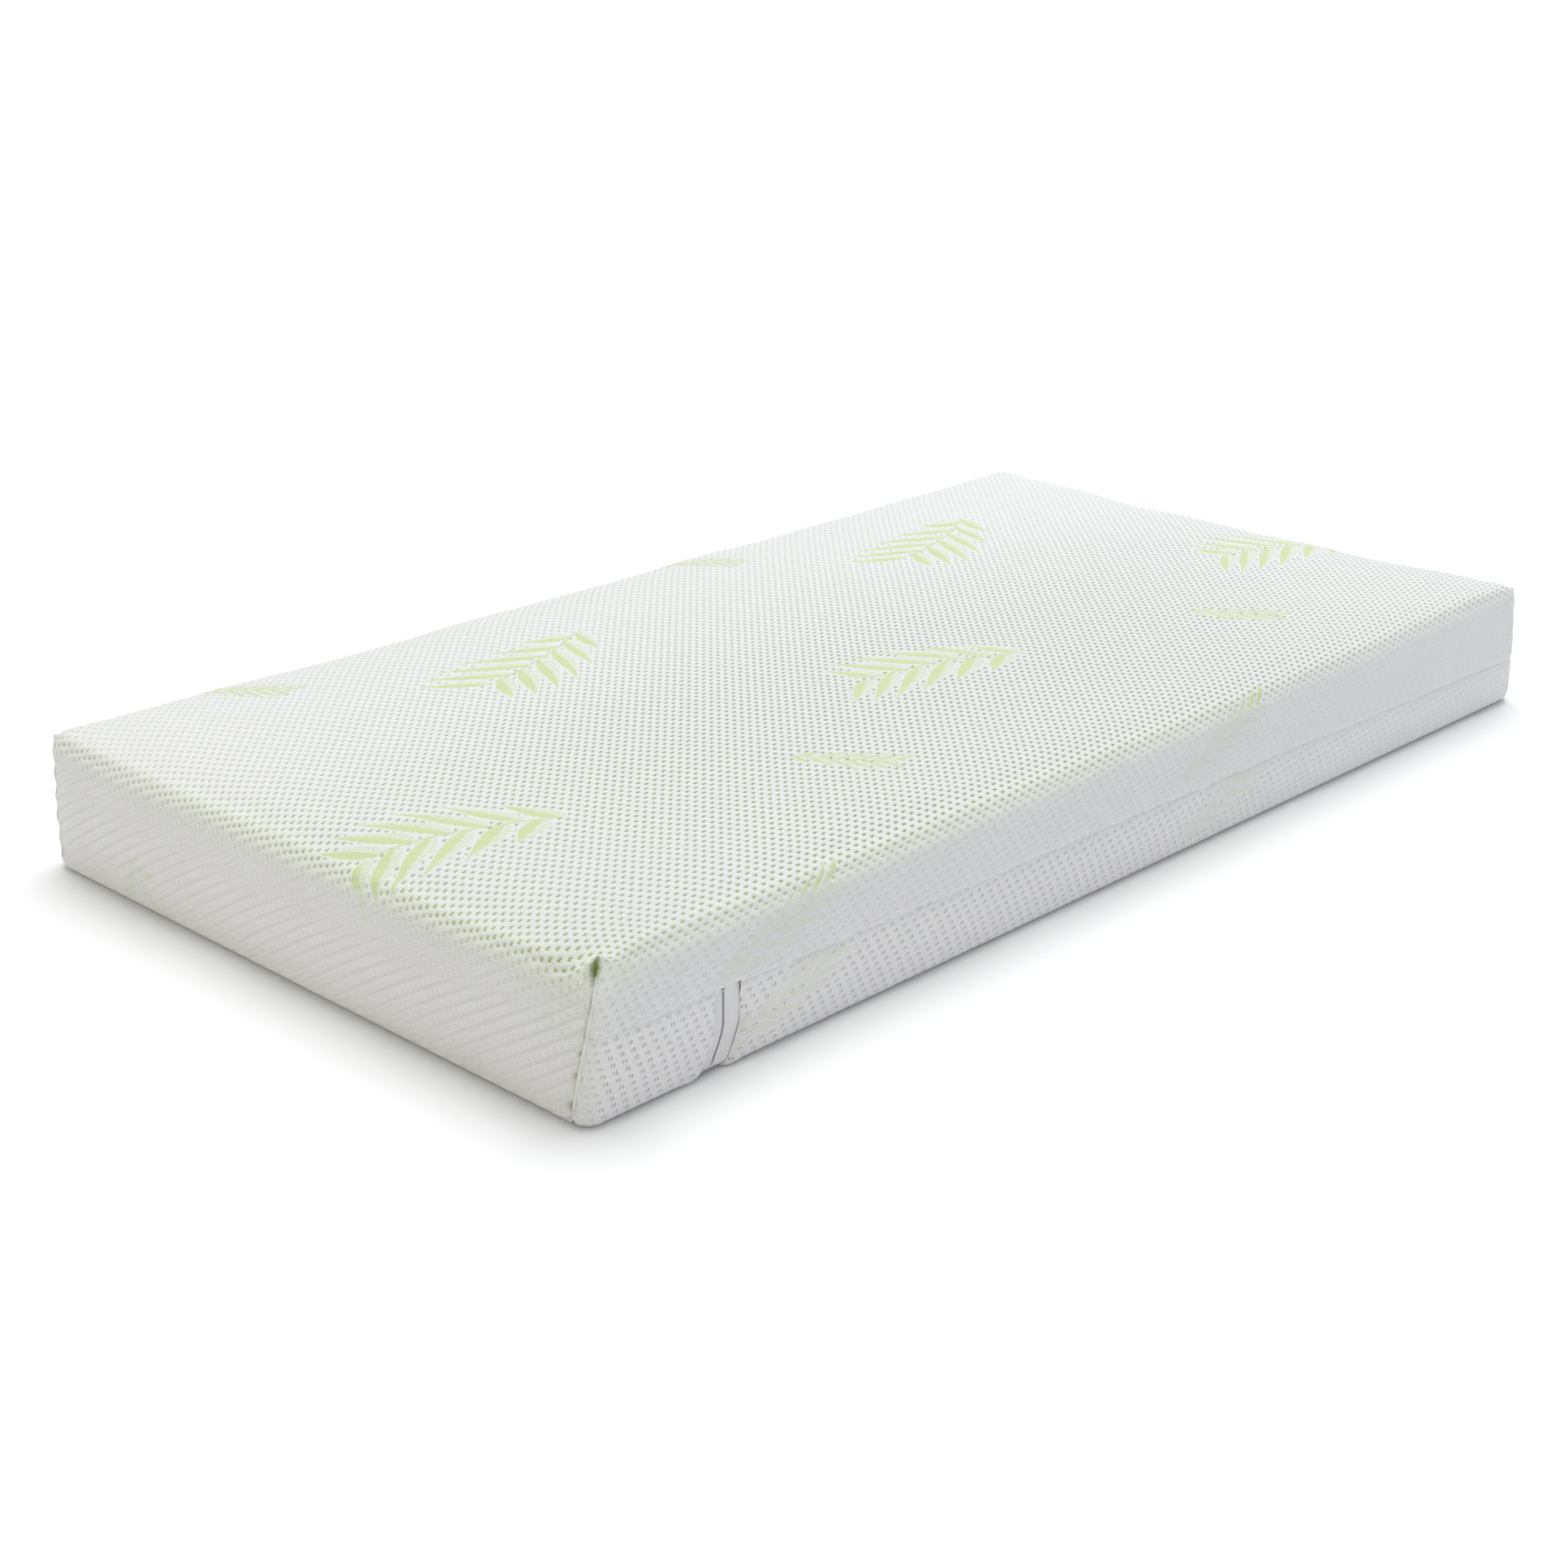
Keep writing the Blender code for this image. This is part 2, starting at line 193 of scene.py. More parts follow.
def addMix(tree, factor, first, second):
    # colour mix by a number or socket
    node = tree.nodes.new("ShaderNodeMix")
    node.data_type = "RGBA"
    for socket, value in (
        (node.inputs[0], factor), (node.inputs[6], first), (node.inputs[7], second)
    ):
        if hasattr(value, "is_output"):
            tree.links.new(value, socket)
        elif hasattr(value, "__len__"):
            socket.default_value = (*value, 1)
        else:
            socket.default_value = value
    return node.outputs[2]


def addRamp(tree, value, low, high, fromValue=0.0, toValue=1.0):
    # a smooth step of value from low to high
    node = tree.nodes.new("ShaderNodeMapRange")
    node.interpolation_type = "SMOOTHSTEP"
    tree.links.new(value, node.inputs["Value"])
    for name, number in (
        ("From Min", low), ("From Max", high), ("To Min", fromValue), ("To Max", toValue)
    ):
        node.inputs[name].default_value = number
    return node.outputs["Result"]


def newGroup(name, inputs, outputs):
    # a shader group; inputs and outputs map a name to its socket type
    group = bpy.data.node_groups.new(name, "ShaderNodeTree")
    for socketName, kind in inputs.items():
        group.interface.new_socket(socketName, in_out="INPUT", socket_type=kind)
    for socketName, kind in outputs.items():
        group.interface.new_socket(socketName, in_out="OUTPUT", socket_type=kind)
    start = group.nodes.new("NodeGroupInput")
    end = group.nodes.new("NodeGroupOutput")
    return group, start, end


def addGroup(tree, group, **values):
    node = tree.nodes.new("ShaderNodeGroup")
    node.node_tree = group
    for name, value in values.items():
        if hasattr(value, "is_output"):
            tree.links.new(value, node.inputs[name])
        else:
            node.inputs[name].default_value = value
    return node


def splitVector(tree, vector):
    node = tree.nodes.new("ShaderNodeSeparateXYZ")
    tree.links.new(vector, node.inputs[0])
    return node.outputs[0], node.outputs[1]


def addBump(tree, heightSocket, strength, distance, normal=None):
    node = tree.nodes.new("ShaderNodeBump")
    node.inputs["Strength"].default_value = strength
    node.inputs["Distance"].default_value = distance
    tree.links.new(heightSocket, node.inputs["Height"])
    if normal is not None:
        tree.links.new(normal, node.inputs["Normal"])
    return node.outputs["Normal"]


def addTexture(tree, kind, vector=None, **settings):
    # a texture over the object's own coordinates, or over another vector
    node = tree.nodes.new("ShaderNodeTex" + kind)
    for name, value in settings.items():
        node.inputs[name].default_value = value
    vector = vector or tree.nodes.new("ShaderNodeTexCoord").outputs["Object"]
    tree.links.new(vector, node.inputs["Vector"])
    return node


def mapNamed(tree, layer):
    node = tree.nodes.new("ShaderNodeUVMap")
    node.uv_map = layer
    return node.outputs["UV"]


def valueNamed(tree, attribute):
    node = tree.nodes.new("ShaderNodeAttribute")
    node.attribute_name = attribute
    return node.outputs["Fac"]


def makePlainNoise(name, colour, darker, roughness, scale, bump, metallic=0.0, sheen=0.0):
    # a colour varied by fine noise, with the same noise as relief and roughness
    material, nodes, links, shader = newMaterial(name, colour, roughness, sheen, metallic)
    tree = material.node_tree
    noise = addTexture(tree, "Noise", Scale=scale, Detail=4).outputs["Fac"]
    tone = addMix(tree, addRamp(tree, noise, 0.35, 0.65), darker, colour)
    rough = addRamp(tree, noise, 0.3, 0.7, roughness * 0.85, min(1, roughness * 1.15))
    links.new(tone, shader.inputs["Base Color"])
    links.new(rough, shader.inputs["Roughness"])
    links.new(addBump(tree, noise, 0.5, bump), shader.inputs["Normal"])
    return material


# the knitted cloth: stitches, leaf sprays and sprigs

knit = {
    "pitch": 0.0110,  # along a row of dimples
    "row": 0.0063,  # from row to row; each row is shifted a quarter of the pitch
    "pairHalf": 0.00128,  # half the space between the two tuck stitches of a dimple
    "stitchWide": 0.00062,
    "stitchLong": 0.00142,
    "barWide": 0.0023,  # the shadow that joins the two stitches, seen from above
    "barLong": 0.00098,
    "barLift": 0.0004,
    "dipWide": 0.0040,
    "dipLong": 0.0026,
    "strength": 0.86,
    "white": (0.815, 0.805, 0.815),
    "castGreen": (0.80, 0.85, 0.70),
    "shade": (0.36, 0.37, 0.38),
    "tuckGrey": (0.19, 0.21, 0.12),
    "tuckGreen": (0.40, 0.43, 0.07),
    "knot": (0.13, 0.17, 0.005),
    "leafGreen": (0.60, 0.68, 0.33),
    # painted shade: the grey that the short ends are mixed towards, a little darker and warmer than
    # the cloth
    "rib": (0.62, 0.62, 0.55),
    "hatch": 0.0038,
}


def buildTuckGroup():
    # two short stitches side by side in each dimple, the painted shadow bar that joins them seen
    # from above, and the dimple's hollow: ellipse masks about the nearest dimple
    group, start, end = newGroup(
        "tuckStitches",
        {"Vector": "NodeSocketVector"},
        {name: "NodeSocketFloat" for name in ("Mask", "Bar", "Dip")},
    )
    do = partial(addMath, group)

    def addEllipse(name, x, halfX, y, halfY, outer, inner):
        # (x / halfX)^2 + (y / halfY)^2, faded in from the outer value to the inner one
        first = do("POWER", do("ABSOLUTE", do("DIVIDE", x, halfX)), 2)
        second = do("POWER", do("ABSOLUTE", do("DIVIDE", y, halfY)), 2)
        group.links.new(addRamp(group, do("ADD", first, second), outer, inner), end.inputs[name])

    u, v = splitVector(group, start.outputs["Vector"])
    rowNumber = do("ROUND", do("DIVIDE", v, knit["row"]))
    across = do("SUBTRACT", v, do("MULTIPLY", rowNumber, knit["row"]))
    shifted = do("SUBTRACT", u, do("MULTIPLY", rowNumber, knit["pitch"] / 4))
    along = do("WRAP", shifted, knit["pitch"] / 2, -knit["pitch"] / 2)
    pair = do("SUBTRACT", do("ABSOLUTE", along), knit["pairHalf"])
    lifted = do("ADD", across, knit["barLift"])
    addEllipse("Mask", pair, knit["stitchWide"], across, knit["stitchLong"], 1.5, 0.5)
    addEllipse("Bar", along, knit["barWide"], lifted, knit["barLong"], 1.5, 0.5)
    addEllipse("Dip", along, knit["dipWide"], across, knit["dipLong"], 1.3, 0.0)
    return group


plume = {
    "length": 0.150,
    "step": 0.0300,
    "lean": 0.62,
    "curl": 6.5,
    "leafLong": 0.062,
    "leafHalf": 0.0125,
    "stemBend": 1.3,
    "stem": 0.0010,
}


def buildPlumeGroup():
    # a bent stem with leaves on both sides by turns. The place along the stem is skewed forward
    # with the distance from it, so that each leaf leans and curls, and is wrapped to one leaf's
    # step; a leaf is as wide as a sine of the share of its length, one half solid, one hatched
    group, start, end = newGroup(
        "leafPlume",
        {"Vector": "NodeSocketVector"},
        {"Mask": "NodeSocketFloat", "Cover": "NodeSocketFloat"},
    )
    do = partial(addMath, group)
    s, q = splitVector(group, start.outputs["Vector"])
    away = do("ADD", q, do("MULTIPLY", do("MULTIPLY", s, s), plume["stemBend"]))
    t = do("ABSOLUTE", away)
    side = do("SIGN", away)
    skewed = do(
        "SUBTRACT",
        do("SUBTRACT", s, do("MULTIPLY", t, plume["lean"])),
        do("MULTIPLY", do("MULTIPLY", t, t), plume["curl"]),
    )
    place = do(
        "DIVIDE",
        do("ADD", do("MULTIPLY_ADD", side, plume["step"] / 4, plume["length"] / 2), skewed),
        plume["step"],
    )
    number = do("ROUND", place)
    local = do("MULTIPLY", do("SUBTRACT", place, number), plume["step"])
    along = do("DIVIDE", number, plume["length"] / plume["step"])
    onStem = do("LESS_THAN", do("ABSOLUTE", do("SUBTRACT", along, 0.5)), 0.56)
    swell = do("SINE", do("MULTIPLY_ADD", along, 0.72 * math.pi, 0.12 * math.pi))
    leafLong = do("MULTIPLY", do("MULTIPLY_ADD", swell, 0.60, 0.40), plume["leafLong"])
    share = do("DIVIDE", t, leafLong, clamp=True)
    half = do(
        "MULTIPLY", do("SINE", do("MULTIPLY", do("POWER", share, 0.62), math.pi)), plume["leafHalf"]
    )
    inside = do("SUBTRACT", half, do("ABSOLUTE", local))
    leaf = do("MULTIPLY", addRamp(group, inside, 0.0, 0.0007), onStem)
    solid = addRamp(group, do("ADD", local, 0.0012), -0.0003, 0.0003)
    slant = do("ADD", do("MULTIPLY", s, 0.5), do("MULTIPLY", q, 0.87))
    lines = addRamp(
        group, do("SINE", do("MULTIPLY", slant, 2 * math.pi / knit["hatch"])), -0.2, 0.4, 0.05, 0.72
    )
    tone = do("MAXIMUM", solid, lines)
    stem = do(
        "MULTIPLY",
        addRamp(group, t, plume["stem"] * 1.4, plume["stem"]),
        do("LESS_THAN", do("ABSOLUTE", s), plume["length"] / 2),
    )
    group.links.new(do("MAXIMUM", do("MULTIPLY", leaf, tone), stem), end.inputs["Mask"])
    near = do(
        "MULTIPLY",
        do("MULTIPLY", addRamp(group, inside, -0.0032, -0.0018), onStem),
        do("LESS_THAN", t, leafLong),
    )
    group.links.new(do("MAXIMUM", near, stem), end.inputs["Cover"])
    return group


tuckGroup = buildTuckGroup()
plumeGroup = buildPlumeGroup()

# where the woven motifs stand on the cloth: each column repeats along the length (u) at one
# place across (v), turned from the direction of +v
repeat = {"u": 0.577, "v": 0.95}
topMotifs = [
    {"place": (-0.560, 0.095), "turn": 160, "mirror": 1, "size": (1.0, 1.0)},
    {"place": (-0.232, -0.180), "turn": 160, "mirror": -1, "size": (1.0, 1.0)},
    {"place": (-0.233, 0.200), "turn": -55, "mirror": 1, "size": (0.52, 0.36)},
    {"place": (-0.480, -0.310), "turn": -55, "mirror": 1, "size": (0.50, 0.34)},
    {"place": (-0.468, 0.380), "turn": 18, "mirror": 1, "size": (0.80, 0.32)},
]
baseMotifs = [
    {"place": (-0.462, 0.437), "turn": 18, "mirror": 1, "size": (0.80, 0.32)},
    {"place": (-0.300, 0.640), "turn": 160, "mirror": 1, "size": (1.0, 1.0)},
    {"place": (-0.060, 0.960), "turn": 160, "mirror": -1, "size": (1.0, 1.0)},
    {"place": (-0.468, 1.240), "turn": 162, "mirror": 1, "size": (0.80, 0.32)},
]


def wrapped(tree, value, place, period):
    # value less place, wrapped to half a period on each side
    return addMath(tree, "WRAP", addMath(tree, "SUBTRACT", value, place), period / 2, -period / 2)


def motifVector(tree, u, v, motif):
    # cloth coordinates about the nearest repeat of a motif: mirrored across, turned, and scaled
    do = partial(addMath, tree)
    along = wrapped(tree, u, motif["place"][0], repeat["u"])
    across = do("MULTIPLY", wrapped(tree, v, motif["place"][1], repeat["v"]), motif["mirror"])
    turn = math.radians(motif["turn"])
    cosine, sine = math.cos(turn), math.sin(turn)
    x = do("SUBTRACT", do("MULTIPLY", along, cosine), do("MULTIPLY", across, sine))
    y = do("ADD", do("MULTIPLY", along, sine), do("MULTIPLY", across, cosine))
    node = tree.nodes.new("ShaderNodeCombineXYZ")
    tree.links.new(do("DIVIDE", x, motif["size"][0]), node.inputs[0])
    tree.links.new(do("DIVIDE", y, motif["size"][1]), node.inputs[1])
    return node.outputs[0]


def makeKnit(name, motifs):
    # white double knit: green tuck stitches in dimples, leaf motifs, fine loops and a soft nap
    material, nodes, links, shader = newMaterial(name, knit["white"], 0.85, sheen=0.25)
    tree = material.node_tree
    do, mix, ramp = partial(addMath, tree), partial(addMix, tree), partial(addRamp, tree)
    stretch, seen, rib, knot, level, shade = (
        valueNamed(tree, value) for value in ("stretch", "tuck", "rib", "knot", "level", "shade")
    )
    stitches = mapNamed(tree, "stitches")
    tucks = addGroup(tree, tuckGroup, Vector=stitches).outputs
    u, v = splitVector(tree, mapNamed(tree, "cloth"))
    motif, cover = 0.0, 0.0
    for item in motifs:
        node = addGroup(tree, plumeGroup, Vector=motifVector(tree, u, v, item))
        motif = do("MAXIMUM", node.outputs["Mask"], motif)
        cover = do("MAXIMUM", node.outputs["Cover"], cover)
    shown = do("MULTIPLY", do("SUBTRACT", 1.0, cover), seen)
    # the ground: white, darkened by painted shade from the shade attribute, with a faint green cast
    # where the cloth is stretched
    patches = addTexture(tree, "Noise", Scale=6.0).outputs["Fac"]
    cast = do("MULTIPLY", ramp(stretch, 0.0, 1.0), ramp(patches, 0.2, 0.8, 0.6, 1.0))
    pale = mix(shade, knit["white"], knit["shade"])
    ground = mix(do("MULTIPLY", cast, 0.6), pale, knit["castGreen"])
    # seen from above, the shadow inside a dimple joins its two stitches into one dash
    dash = do("MAXIMUM", tucks["Mask"], do("MULTIPLY", tucks["Bar"], level))
    tuckColour = mix(stretch, knit["tuckGrey"], knit["tuckGreen"])
    dashShown = do("MULTIPLY", dash, do("MULTIPLY", shown, knit["strength"]))
    withTucks = mix(dashShown, ground, tuckColour)
    fade = ramp(level, 0.0, 0.8, 0.22, 0.88)
    withMotif = mix(do("MULTIPLY", motif, fade), withTucks, knit["leafGreen"])
    # painted shade: the short ends, where the rib attribute is set, are mixed 3.5 % towards knit's
    # rib grey
    withEndShade = mix(do("MULTIPLY", rib, 0.035), withMotif, knit["rib"])
    links.new(mix(knot, withEndShade, knit["knot"]), shader.inputs["Base Color"])
    # slanting ribs, where the cloth is pulled across the short ends
    alongRow, rowPlace = splitVector(tree, stitches)
    slope = do("SUBTRACT", alongRow, do("MULTIPLY", rowPlace, knit["pitch"] / 4 / knit["row"]))
    wave = do("SINE", do("MULTIPLY", slope, 2 * math.pi / knit["pitch"]))
    ribbed = do("MULTIPLY", wave, rib)
    # relief: the dimple and its two stitches, then the fine loops of the knit
    deep = do("ADD", do("MULTIPLY", tucks["Dip"], 0.45), do("MULTIPLY", tucks["Mask"], 0.35))
    dip = do("MULTIPLY", deep, shown)
    loops = addTexture(tree, "Wave", mapNamed(tree, "cloth"), Scale=260.0, Distortion=1.5)
    loops.bands_direction = "Y"
    loop = loops.outputs["Fac"]
    fine = do("ADD", do("MULTIPLY", loop, 0.10), do("MULTIPLY", motif, 0.12))
    relief = do("ADD", do("SUBTRACT", fine, dip), do("MULTIPLY", ribbed, 0.50))
    links.new(addBump(tree, relief, 0.8, 0.0016), shader.inputs["Normal"])
    links.new(ramp(loop, 0.0, 1.0, 0.80, 0.92), shader.inputs["Roughness"])
    return material


print("materials of the cover")
topKnit = makeKnit("knitTop", topMotifs)
baseKnit = makeKnit("knitBase", baseMotifs)


# the shape of the mattress

soft = {
    "topEdge": 0.0115,  # radii of the rounded edges, with what is added along ends and sides
    "endSoft": 0.003,
    "sideSoft": 0.006,
    "tight": 0.35,
    "bottomEdge": 0.009,
    "corner": 0.026,
    "seamCorner": 0.017,
    "crown": 0.0020,
    "edgeSag": 0.0032,
    "endSag": 0.0045,
    "sideBulge": 0.0022,
    "endBulge": 0.0030,
    "uneven": 0.0009,
    "seamDepth": 0.0022,
    "pucker": 0.0009,
    "dimple": 0.00105,
    "cornerWrap": 0.018,  # the long sides' cloth goes round the corner by this much at the floor
    "ear": 0.0200,
    "earReach": 0.0175,
    "earDip": 0.38,
    "setBack": 0.015,  # how far the seam draws the foot's +X corner back at the top
    "setBackReach": 0.045,
    "hollow": 0.0030,  # the pinch below the ear
    "hollowReach": 0.0055,
    "tuckUnder": 0.016,  # how far the short ends' cloth goes under the mattress
    "slant": 0.006,
}


def seamHeight(y):
    return seamFoot + (y + halfLength) / (2 * halfLength) * (seamHead - seamFoot)


def cornerShift(z):
    # how far the corner seam stands on the short end, from nothing at the top
    return soft["cornerWrap"] * np.clip(1 - z / height, 0, 1) ** 0.85


def edgeRadius(p):
    # radius of the top edge: soft along the short ends, firmer along the long sides, and tighter
    # towards the foot's +X corner, where the seam pulls the cloth up
    tx, ty = np.clip(p[..., 0] / halfWidth, -1, 1), np.clip(p[..., 1] / halfLength, -1, 1)
    atEnd = smoothStep(0.05, 0.0, halfLength - np.abs(p[..., 1]))
    atSide = smoothStep(0.05, 0.0, halfWidth - np.abs(p[..., 0]))
    radius = (
        soft["topEdge"]
        + soft["endSoft"] * atEnd * (1 - tx**8)
        + soft["sideSoft"] * atSide * (1 - ty**24)
    )
    toKnot = np.hypot(halfWidth - p[..., 0], halfLength + p[..., 1])
    return radius * (1 - soft["tight"] * np.exp(-((toKnot / 0.06) ** 2)))


def roundBlock(p, ax=None, ay=None, bottom=0.0, top=None, inset=0.0, topEdge=None):
    # points on a sharp block -> points on a block with rounded corners in plan and rounded top and
    # bottom edges. Plan corners: a square patch is shrunk to a disc. Edges: the two distances from
    # the edge's centre line are scaled so that their length is the radius.
    ax, ay, top = ax or halfWidth, ay or halfLength, top or height
    pulled = (p[..., 0] > 0) & (p[..., 1] < 0)
    corner = np.where(pulled, soft["seamCorner"], soft["corner"]) - inset
    topEdge = edgeRadius(p) - inset if topEdge is None else topEdge
    bottomEdge = soft["bottomEdge"] - inset
    x, y, z = p[..., 0].copy(), p[..., 1].copy(), p[..., 2].copy()
    dx, dy = np.maximum(np.abs(x) - (ax - corner), 0), np.maximum(np.abs(y) - (ay - corner), 0)
    far, near = np.hypot(dx, dy), np.maximum(dx, dy)
    scale = np.where(far > 1e-9, near / np.maximum(far, 1e-9), 1)
    inward = np.minimum(ax - np.abs(x), ay - np.abs(y))
    sideX = (ax - np.abs(x)) <= (ay - np.abs(y))
    nx = (
        np.where(near > 1e-9, dx, sideX)
        / np.where(near > 1e-9, np.maximum(far, 1e-9), 1)
        * np.sign(x)
    )
    ny = (
        np.where(near > 1e-9, dy, ~sideX)
        / np.where(near > 1e-9, np.maximum(far, 1e-9), 1)
        * np.sign(y)
    )
    x = np.sign(x) * (np.abs(x) - dx + dx * scale)
    y = np.sign(y) * (np.abs(y) - dy + dy * scale)
    normal = np.zeros(p.shape)
    outTotal = np.zeros(x.shape)
    for sign, edge, radius in ((1, top, topEdge), (-1, bottom, bottomEdge)):
        out = np.clip(radius - inward, 0, radius)
        up = np.clip(radius - sign * (edge - z), 0, radius)
        length = np.hypot(out, up)
        both = (out > 0) & (up > 0)
        factor = np.where(both, radius / np.maximum(length, 1e-9), 1)
        x += nx * out * (factor - 1) * (up > 0)
        y += ny * out * (factor - 1) * (up > 0)
        z += sign * up * (factor - 1)
        normal[..., 2] += sign * up
        outTotal = np.maximum(outTotal, out * (up > 0))
    outTotal = np.where(np.abs(normal[..., 2]) < 1e-9, 1, outTotal)
    normal[..., 0], normal[..., 1] = nx * outTotal, ny * outTotal
    normal /= np.maximum(np.linalg.norm(normal, axis=-1), 1e-9)[..., None]
    return np.stack([x, y, z], -1), normal


bag = {"cell": 0.020, "layers": 7, "pressure": 3.0, "frames": 20, "tether": 0.10, "cap": 0.0034}


def blowUpBag():
    # the cover as an airtight bag on a coarse lattice, held under the mattress and along the seams,
    # and tethered to the foam elsewhere; returns its displacement at every point of the lattice
    counts = (
        round(2 * halfWidth / bag["cell"]) + 1,
        round(2 * halfLength / bag["cell"]) + 1,
        bag["layers"] + 1,
    )
    axes = [
        np.linspace(*span, n)
        for span, n in zip(
            ((-halfWidth, halfWidth), (-halfLength, halfLength), (0, height)), counts
        )
    ]
    field = np.zeros((counts[0] * counts[1] * counts[2], 3))
    points, faces, used = latticeShell(*axes)
    placed, normal = roundBlock(points)
    mesh = bpy.data.meshes.new("bag")
    mesh.from_pydata(placed.tolist(), [], faces.tolist())
    sack = bpy.data.objects.new("bag", mesh)
    bpy.context.scene.collection.objects.link(sack)
    x, y, z = points.T
    toSeam = np.where(np.abs(x) > halfWidth - 1e-6, np.abs(z - seamHeight(y)), 1.0)
    toCorner = np.hypot(halfWidth - np.abs(x), halfLength - np.abs(y))
    held = np.exp(-((toSeam / 0.012) ** 2)) + np.exp(-((toCorner / 0.012) ** 2)) + (z < 1e-6)
    weight = np.clip(bag["tether"] + held, 0, 1).round(2)
    group = sack.vertex_groups.new(name="held")
    for value in np.unique(weight):
        group.add(np.nonzero(weight == value)[0].tolist(), float(value), "REPLACE")
    cloth = sack.modifiers.new("cloth", "CLOTH").settings
    cloth.vertex_group_mass = "held"
    cloth.pin_stiffness = 1.0
    cloth.mass = 0.25
    cloth.quality = 5
    cloth.tension_stiffness = cloth.compression_stiffness = 12
    cloth.bending_stiffness = 0.8
    cloth.use_pressure = True
    cloth.uniform_pressure_force = bag["pressure"]
    cloth.effector_weights.gravity = 0
    sack.modifiers["cloth"].point_cache.frame_end = bag["frames"]
    scene = bpy.context.scene
    for frameNumber in range(1, bag["frames"] + 1):
        scene.frame_set(frameNumber)
    result = sack.evaluated_get(bpy.context.evaluated_depsgraph_get()).to_mesh()
    moved = np.empty(len(placed) * 3, np.float32)
    result.vertices.foreach_get("co", moved)
    shift = moved.reshape(-1, 3) - placed
    size = np.linalg.norm(shift, axis=1)
    print(
        "bag swells by at most",
        round(float(size.max()) * 1000, 2),
        "mm, middle",
        round(float(np.median(size)) * 1000, 2),
    )
    capped = bag["cap"] * np.tanh(size / bag["cap"])
    field[used] = shift * (capped / np.maximum(size, 1e-9))[:, None]
    scene.frame_set(1)
    bpy.data.objects.remove(sack)
    bpy.data.meshes.remove(mesh)
    return axes, field.reshape(*counts, 3)


def refine(values, axis):
    # doubles the points along an axis: a new one is (9 (b + c) - (a + d)) / 16 of its neighbours
    values = np.moveaxis(values, axis, 0)
    padded = np.concatenate([2 * values[:1] - values[1:2], values, 2 * values[-1:] - values[-2:-1]])
    between = (9 * (padded[1:-2] + padded[2:-1]) - padded[:-3] - padded[3:]) / 16
    result = np.empty((2 * len(values) - 1, *values.shape[1:]))
    result[::2], result[1::2] = values, between
    return np.moveaxis(result, 0, axis)


def refineFaces(axes, field):
    # the field on each of the block's six faces, four times finer than the lattice
    faces = {}
    for axis in range(3):
        for side in (0, -1):
            values = np.take(field, side, axis=axis)
            for _ in range(2):
                values = refine(refine(values, 0), 1)
            faces[axis, side] = values
    return axes, faces


def fieldAt(box):
    # the bag's displacement at points on the sharp block, linear on the refined faces
    axes, faces = swelling
    total = np.zeros(box.shape)
    for (axis, side), values in faces.items():
        on = np.abs(box[..., axis] - axes[axis][side]) < 1e-6
        place = []
        for k, other in enumerate(a for a in range(3) if a != axis):
            line = axes[other]
            share = (box[..., other][on] - line[0]) / (line[-1] - line[0]) * (values.shape[k] - 1)
            place.append(np.clip(share, 0, values.shape[k] - 1.0001))
        i, j = (p.astype(int) for p in place)
        fi, fj = (place[0] - i)[:, None], (place[1] - j)[:, None]
        near = values[i, j] * (1 - fj) + values[i, j + 1] * fj
        far = values[i + 1, j] * (1 - fj) + values[i + 1, j + 1] * fj
        total[on] = near * (1 - fi) + far * fi
    return total


print("bag simulation")
swelling = refineFaces(*blowUpBag())


zipLine = {
    "footSide": 0.0105,
    "headSide": 0.0165,
    "bend": -0.019,  # the zip swings towards the foot as it goes under on the +X side
    "press": 0.0013,
    "footLip": 0.0014,
    "headLip": 0.0025,
}


def zipSwing(v):
    # sideways shift of the zip along its path; v runs down the +X side, under, and up the -X side
    floorAt = halfWidth + height
    down = smoothStep(floorAt - 0.040, floorAt + 0.012, v)
    back = smoothStep(floorAt + 0.06, floorAt + 0.45, v)
    return zipLine["bend"] * down * (1 - back)


